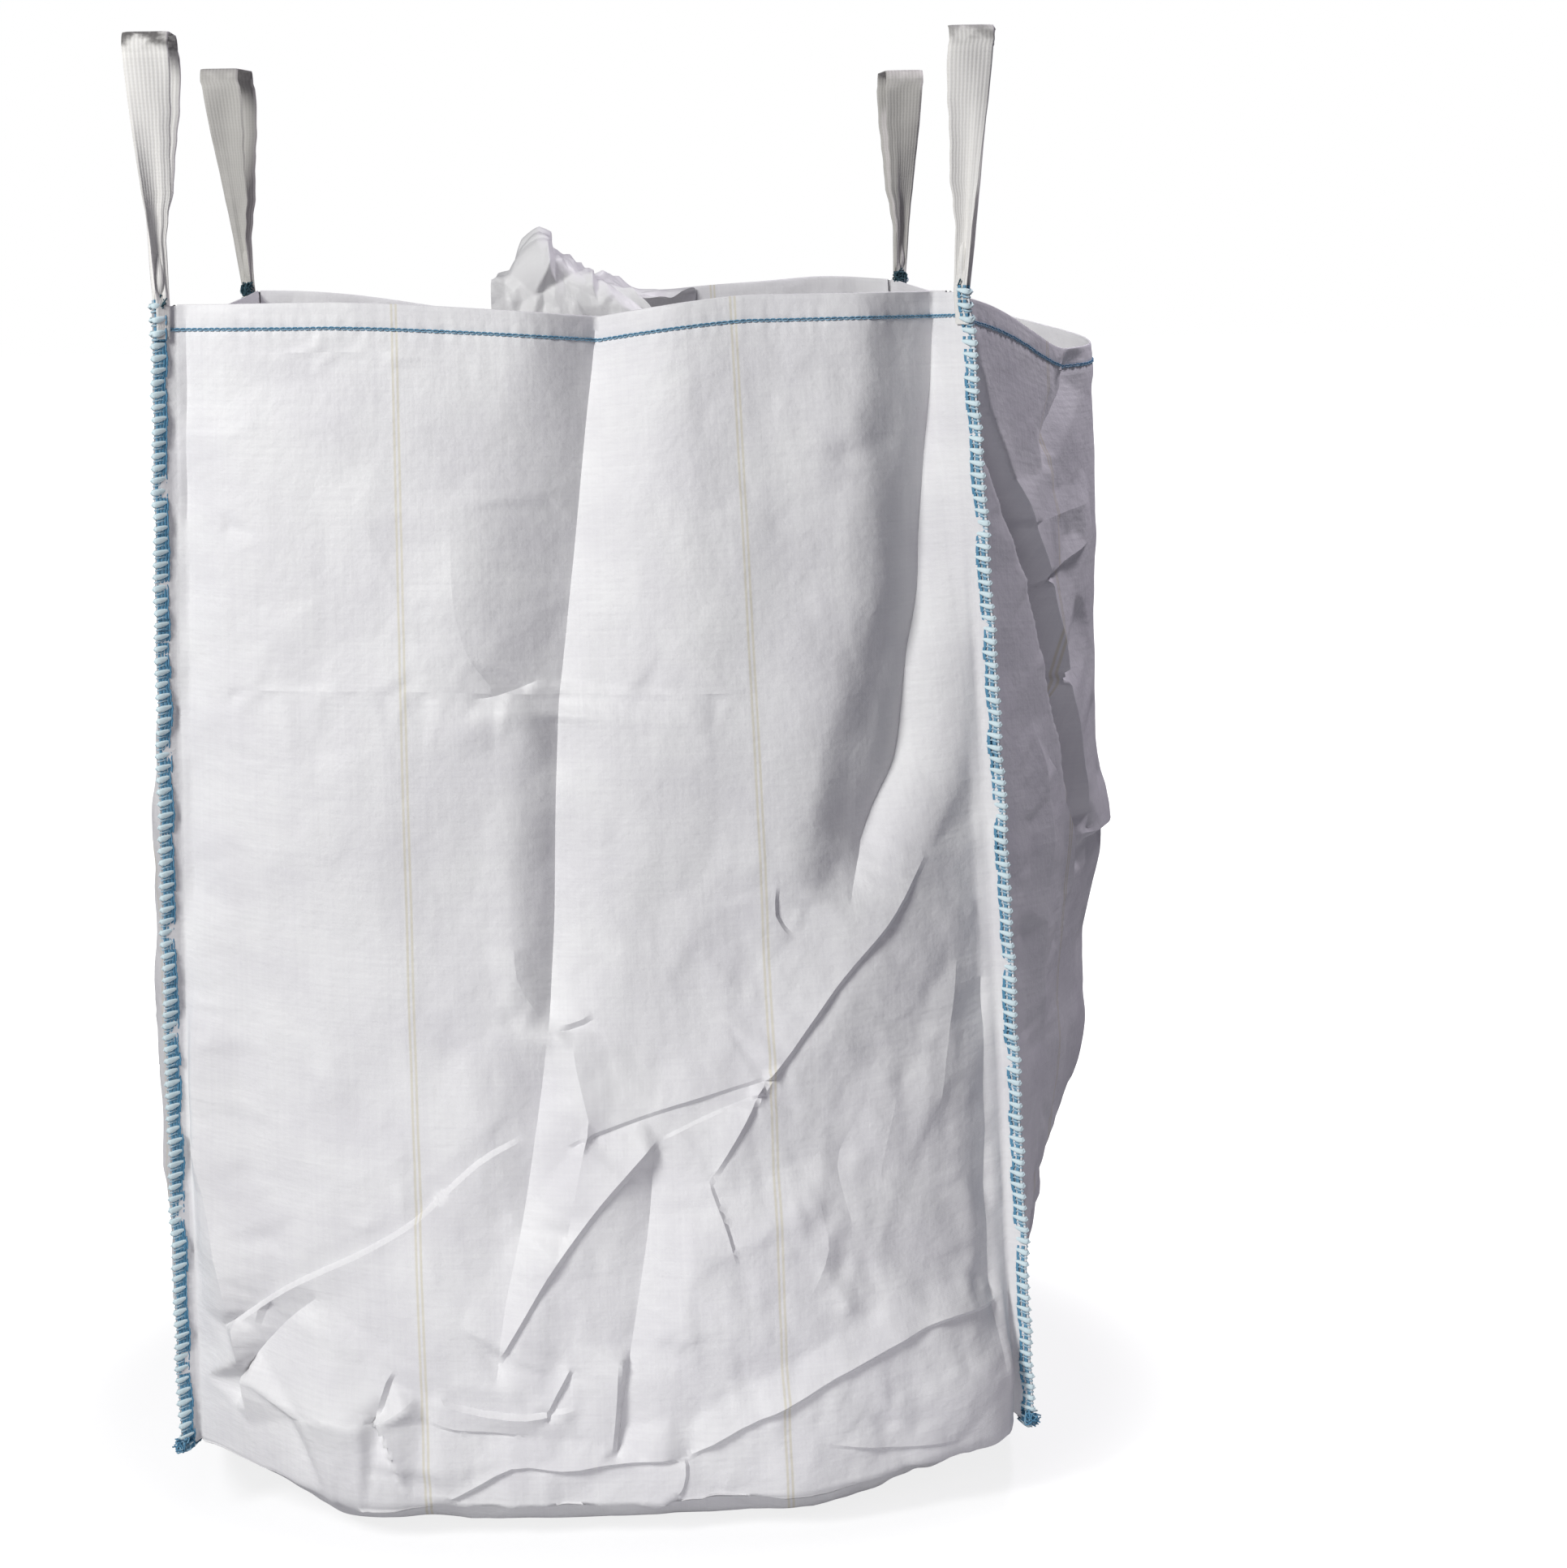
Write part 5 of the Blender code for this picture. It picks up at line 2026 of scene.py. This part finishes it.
@dataclass(frozen=True)
class WebbingFinish(Finish):
    """Ribbed webbing, with painted shade darkening the top of each loop."""

    colour: Colour = (0.80, 0.79, 0.77)
    groove: Colour = (0.73, 0.72, 0.69)
    # Painted shade: the dark colour laid, mottled, over the top of each loop
    shade_colour: Colour = (0.10, 0.095, 0.095)
    ribs: float = 11.0
    width: float = 0.050
    weft: float = 0.004

    def surface(self, nodes: NodeTree) -> Socket:
        """Lay out the ribs, the weft across them and the painted shade over the loop's top.

        Args:
            nodes: The material's tree.

        Returns:
            The shader.
        """
        place = nodes.add("ShaderNodeUVMap", uv_map="cloth").outputs[0]
        across, along, _ = nodes.add("ShaderNodeSeparateXYZ", {0: place}).outputs
        rib = nodes.wave(across, self.width / self.ribs)
        level = nodes.math("MULTIPLY_ADD", nodes.wave(along, self.weft), 0.3, rib)
        noise = nodes.noise(place, 60.0, 4.0)
        # Painted shade over the loop's top, mottled by the noise
        soil = nodes.add("ShaderNodeAttribute", attribute_name="soil").outputs["Fac"]
        soil = nodes.math("MULTIPLY", soil, nodes.ramp(0.30, 0.60, noise))
        colour = nodes.mix(nodes.ramp(-1.2, 0.4, level), self.groove, self.colour)
        colour = nodes.mix(nodes.math("MULTIPLY", noise, 0.3), colour, self.groove)
        colour = nodes.mix(nodes.math("MULTIPLY", soil, 0.9), colour, self.shade_colour)
        return nodes.cloth(colour, 0.75, 0.2, nodes.bump(level, 0.4, 0.0003))


@dataclass(frozen=True)
class FloorFinish(Finish):
    """Matt floor that the camera sees as white, apart from a soft shade around the bag."""

    matt: tuple[float, float, float, float] = (0.58, 0.58, 0.60, 1.0)
    glow: float = 1.37
    near_share: float = 0.60
    near: float = 0.60
    far: float = 1.00

    def surface(self, nodes: NodeTree) -> Socket:
        """Lay out the matt floor, and the glow that grows away from the bag.

        Args:
            nodes: The material's tree.

        Returns:
            The shader.
        """
        matt = nodes.add("ShaderNodeBsdfDiffuse", {"Color": self.matt}).outputs[0]
        white = {"Color": (1.0, 1.0, 1.0, 1.0), "Strength": self.glow}
        glow = nodes.add("ShaderNodeEmission", white).outputs[0]
        seen = nodes.add("ShaderNodeLightPath").outputs["Is Camera Ray"]
        place = nodes.add("ShaderNodeTexCoord").outputs["Object"]
        reach = nodes.add("ShaderNodeVectorMath", {0: place}, operation="LENGTH").outputs["Value"]
        ramp = nodes.ramp(self.near, self.far, reach)
        share = nodes.math("MULTIPLY_ADD", ramp, 1.0 - self.near_share, self.near_share)
        share = nodes.math("MULTIPLY", seen, share)
        return nodes.add("ShaderNodeMixShader", {0: share, 1: matt, 2: glow}).outputs[0]


@dataclass(frozen=True)
class Lamp:
    """One soft square light: where it stands and points, its width, watts, tint and beam in degrees."""

    name: str
    spot: Colour
    target: Colour
    size: float
    power: float
    tint: Colour
    spread: float = 180.0

    def build(self) -> None:
        """Set the light up in the scene."""
        data = bpy.data.lights.new(self.name, "AREA")
        data.size = self.size
        data.spread = math.radians(self.spread)
        data.energy = self.power
        data.color = self.tint
        lamp = bpy.data.objects.new(self.name, data)
        lamp.location = self.spot
        aim = Vector(self.target) - Vector(self.spot)
        lamp.rotation_euler = aim.to_track_quat("-Z", "Y").to_euler()
        bpy.context.scene.collection.objects.link(lamp)


@dataclass(frozen=True)
class Studio:
    """The photo's camera, its soft light and its plain white floor."""

    focal: float = 4250.0 / 1932.0 * 36.0
    eye: tuple[float, float, float] = (0.055, -4.34, 1.487)
    yaw: float = math.radians(2.4)
    pitch: float = math.radians(9.2)
    roll: float = math.radians(1.0)
    floor_half: float = 40.0
    ambient: Colour = (0.092, 0.087, 0.112)
    lamps: tuple[Lamp, ...] = (
        Lamp("key_light", (-2.6, -3.6, 3.3), (0.0, -0.2, 0.8), 1.2, 194.0, (1.0, 1.0, 0.98)),
        Lamp("side_light", (1.50, 0.40, 2.8), (0.60, -0.1, 1.0), 0.35, 24.0, (0.96, 0.90, 1.0)),
        Lamp("foot_light", (0.3, -3.6, 0.25), (0.10, -0.5, 0.10), 0.5, 0.48, (1.0, 0.99, 1.0), 26.0),
    )

    def camera(self) -> None:
        """Set the camera where the photo was taken from."""
        cos_pitch = math.cos(self.pitch)
        forward = np.array([
            math.sin(self.yaw) * cos_pitch, math.cos(self.yaw) * cos_pitch, -math.sin(self.pitch)
        ])
        right = np.array([math.cos(self.yaw), -math.sin(self.yaw), 0.0])
        up = np.cross(right, forward)
        turned = right * math.cos(self.roll) - up * math.sin(self.roll)
        upright = right * math.sin(self.roll) + up * math.cos(self.roll)
        data = bpy.data.cameras.new("camera")
        data.lens = self.focal
        data.sensor_width = 36.0
        camera = bpy.data.objects.new("camera", data)
        rows = np.stack([turned, upright, -forward], axis=1)
        camera.matrix_world = Matrix.Translation(Vector(self.eye)) @ Matrix(rows.tolist()).to_4x4()
        bpy.context.scene.collection.objects.link(camera)
        bpy.context.scene.camera = camera

    def floor(self) -> None:
        """Lay the floor, far enough out to meet the white behind it."""
        half = self.floor_half
        mesh = bpy.data.meshes.new("floor")
        corners = [(-half, -half, 0.0), (half, -half, 0.0), (half, half, 0.0), (-half, half, 0.0)]
        mesh.from_pydata(corners, [], [(0, 1, 2, 3)])
        mesh.materials.append(FloorFinish().make("floor_white"))
        place_piece("studio_floor", mesh)

    def build(self) -> None:
        """Set up the camera, the floor, the lights and the white around them."""
        self.camera()
        self.floor()
        for lamp in self.lamps:
            lamp.build()
        world = bpy.data.worlds.new("white_room")
        world.use_nodes = True
        nodes = NodeTree(world.node_tree)
        seen = nodes.add("ShaderNodeLightPath").outputs["Is Camera Ray"]
        colour = nodes.mix(seen, self.ambient, (1.0, 1.0, 1.0))
        background = nodes.add("ShaderNodeBackground", {"Color": colour, "Strength": 1.0})
        nodes.add("ShaderNodeOutputWorld", {"Surface": background.outputs[0]})
        bpy.context.scene.world = world
        bpy.context.scene.view_settings.view_transform = "Standard"


@dataclass(frozen=True)
class CornerSeams:
    """The overlock on the edge of every fin, thicker over the loops' sewn tails."""

    shape: BagShape
    tree: StitchTree
    thread: bpy.types.Material
    tail_length: float = 0.034
    tail_thickness: float = 2.4

    def build(self) -> None:
        """Set the stitches of the six seams and of the four tails."""
        overlock = StitchRow(self.tree, spacing=0.0135, looseness=0.10, strands=OVERLOCK)
        thick = tuple(
            replace(strand, points=tuple((x, y * self.tail_thickness, z) for x, y, z in strand.points))
            for strand in OVERLOCK
        )
        over_tail = StitchRow(self.tree, spacing=0.0115, looseness=0.06, strands=thick)
        for side in Side:
            word = side.name.lower()
            run = SeamRun(self.shape, side)
            seam = run.points()
            fin, _ = self.shape.fin_frames(side, seam)
            edge = run.strip(1.0, 0.0)
            last = run.wall_rows - 1
            first = int(self.tail_length / self.shape.length() * last)
            seams = (
                ("front_" + word + "_corner_", slice(first, last + 1)),
                ("base_" + word + "_", slice(last, len(seam) - last)),
                ("back_" + word + "_corner_", slice(len(seam) - last - 1, len(seam) - first)),
            )
            for seed, (start, part) in enumerate(seams):
                piece = overlock.build(start + "overlock", edge[part], fin[part], seed, self.thread)
                dress(piece, "seam_thread", start + "thread")
            tails = (("front_", slice(0, first + 1)), ("back_", slice(-first - 1, None)))
            for seed, (start, part) in enumerate(tails, 7):
                name = start + word + "_tail_overlock"
                piece = over_tail.build(name, edge[part], fin[part], seed, self.thread)
                dress(piece, "seam_thread")


@dataclass(frozen=True)
class ThreadKnots:
    """The tangles of thread at the top of every corner and at the foot of the front seams."""

    shape: BagShape
    dark: bpy.types.Material
    bright: bpy.types.Material
    kinds: tuple[tuple[Wall, float, Colour, int], ...] = (
        (Wall.FRONT, 0.0, (0.007, 0.007, 0.011), 9),
        (Wall.BACK, 0.0, (0.011, 0.010, 0.013), 16),
        (Wall.FRONT, 1.0, (0.012, 0.010, 0.012), 16),
    )
    first_seed: int = 90

    def build(self) -> None:
        """Leave each tangle at its share of the way down a wall."""
        places = product(Side, self.kinds)
        for seed, (side, (wall, share, size, loops)) in enumerate(places, self.first_seed):
            seam = self.shape.seam(side, wall, np.array([share]))
            fin, _ = self.shape.fin_frames(side, self.shape.seam(side, wall, np.array([0.0, 0.5, 1.0])))
            centre = seam[0] + fin[0] * self.shape.fin_width * (0.95 if share else 0.55)
            lift = np.array([0.0, 0.0, -0.004 if share else 0.004])
            ending, finish = ("_foot_knot", self.bright) if share else ("_top_knot", self.dark)
            name = wall.name.lower() + "_" + side.name.lower() + ending
            dress(ThreadKnot(tuple(centre + lift), size, loops, seed).build(name, finish), "seam_thread")


def main() -> None:
    """Build every piece of the bag's looks in order, then the studio."""
    logging.basicConfig(level=logging.INFO, format="%(message)s")
    shape, hem = BagShape(), Hem()
    woven = WovenFinish().make("woven_cloth")
    thin = WovenFinish((0.97, 0.975, 0.97), (0.93, 0.935, 0.93), roughness=0.4, sheer=0.12)
    thread = ThreadFinish().make("seam_thread")
    cloth, walls = LongCloth(shape, hem).build(woven)
    dress(cloth, "woven_cloth", "front_base_back_cloth")
    for side, creases, seed in ((Side.LEFT, LEFT_CREASES, 41), (Side.RIGHT, RIGHT_CREASES, 51)):
        word = side.name.lower()
        wall, walls[word] = SideCloth(shape, hem, side, creases, seed).build(woven)
        dress(wall, "woven_cloth", word + "_side_cloth")
    tree = StitchTree()
    CornerSeams(shape, tree, thread).build()
    dark = ThreadFinish(pale=(0.10, 0.19, 0.23), deep=(0.03, 0.07, 0.09)).make("knot_thread")
    ThreadKnots(shape, dark, thread).build()
    chain = StitchRow(tree, spacing=0.0068, looseness=0.06, strands=CHAIN_LINK)
    for number, (word, (path, out)) in enumerate(walls.items()):
        piece = chain.build(word + "_hem_stitches", path, out, number, thread)
        dress(piece, "seam_thread", word + "_hem_thread")
    for form in LOOPS:
        finish = WebbingFinish()
        # Painted shade: the back loops get a darker copy of the same webbing
        if form.wall is Wall.BACK:
            finish = WebbingFinish(colour=(0.60, 0.59, 0.56), groove=(0.52, 0.51, 0.48))
        loop = LiftingLoop(shape, form).build(finish.make(form.name))
        dress(loop, "webbing", form.name)
    crumpled = CrumpledCloth(shape).build(thin.make("thin_cloth"))
    dress(crumpled, "thin_cloth", "crumpled_top_cloth")
    Studio().build()


if __name__ == "__main__":
    main()
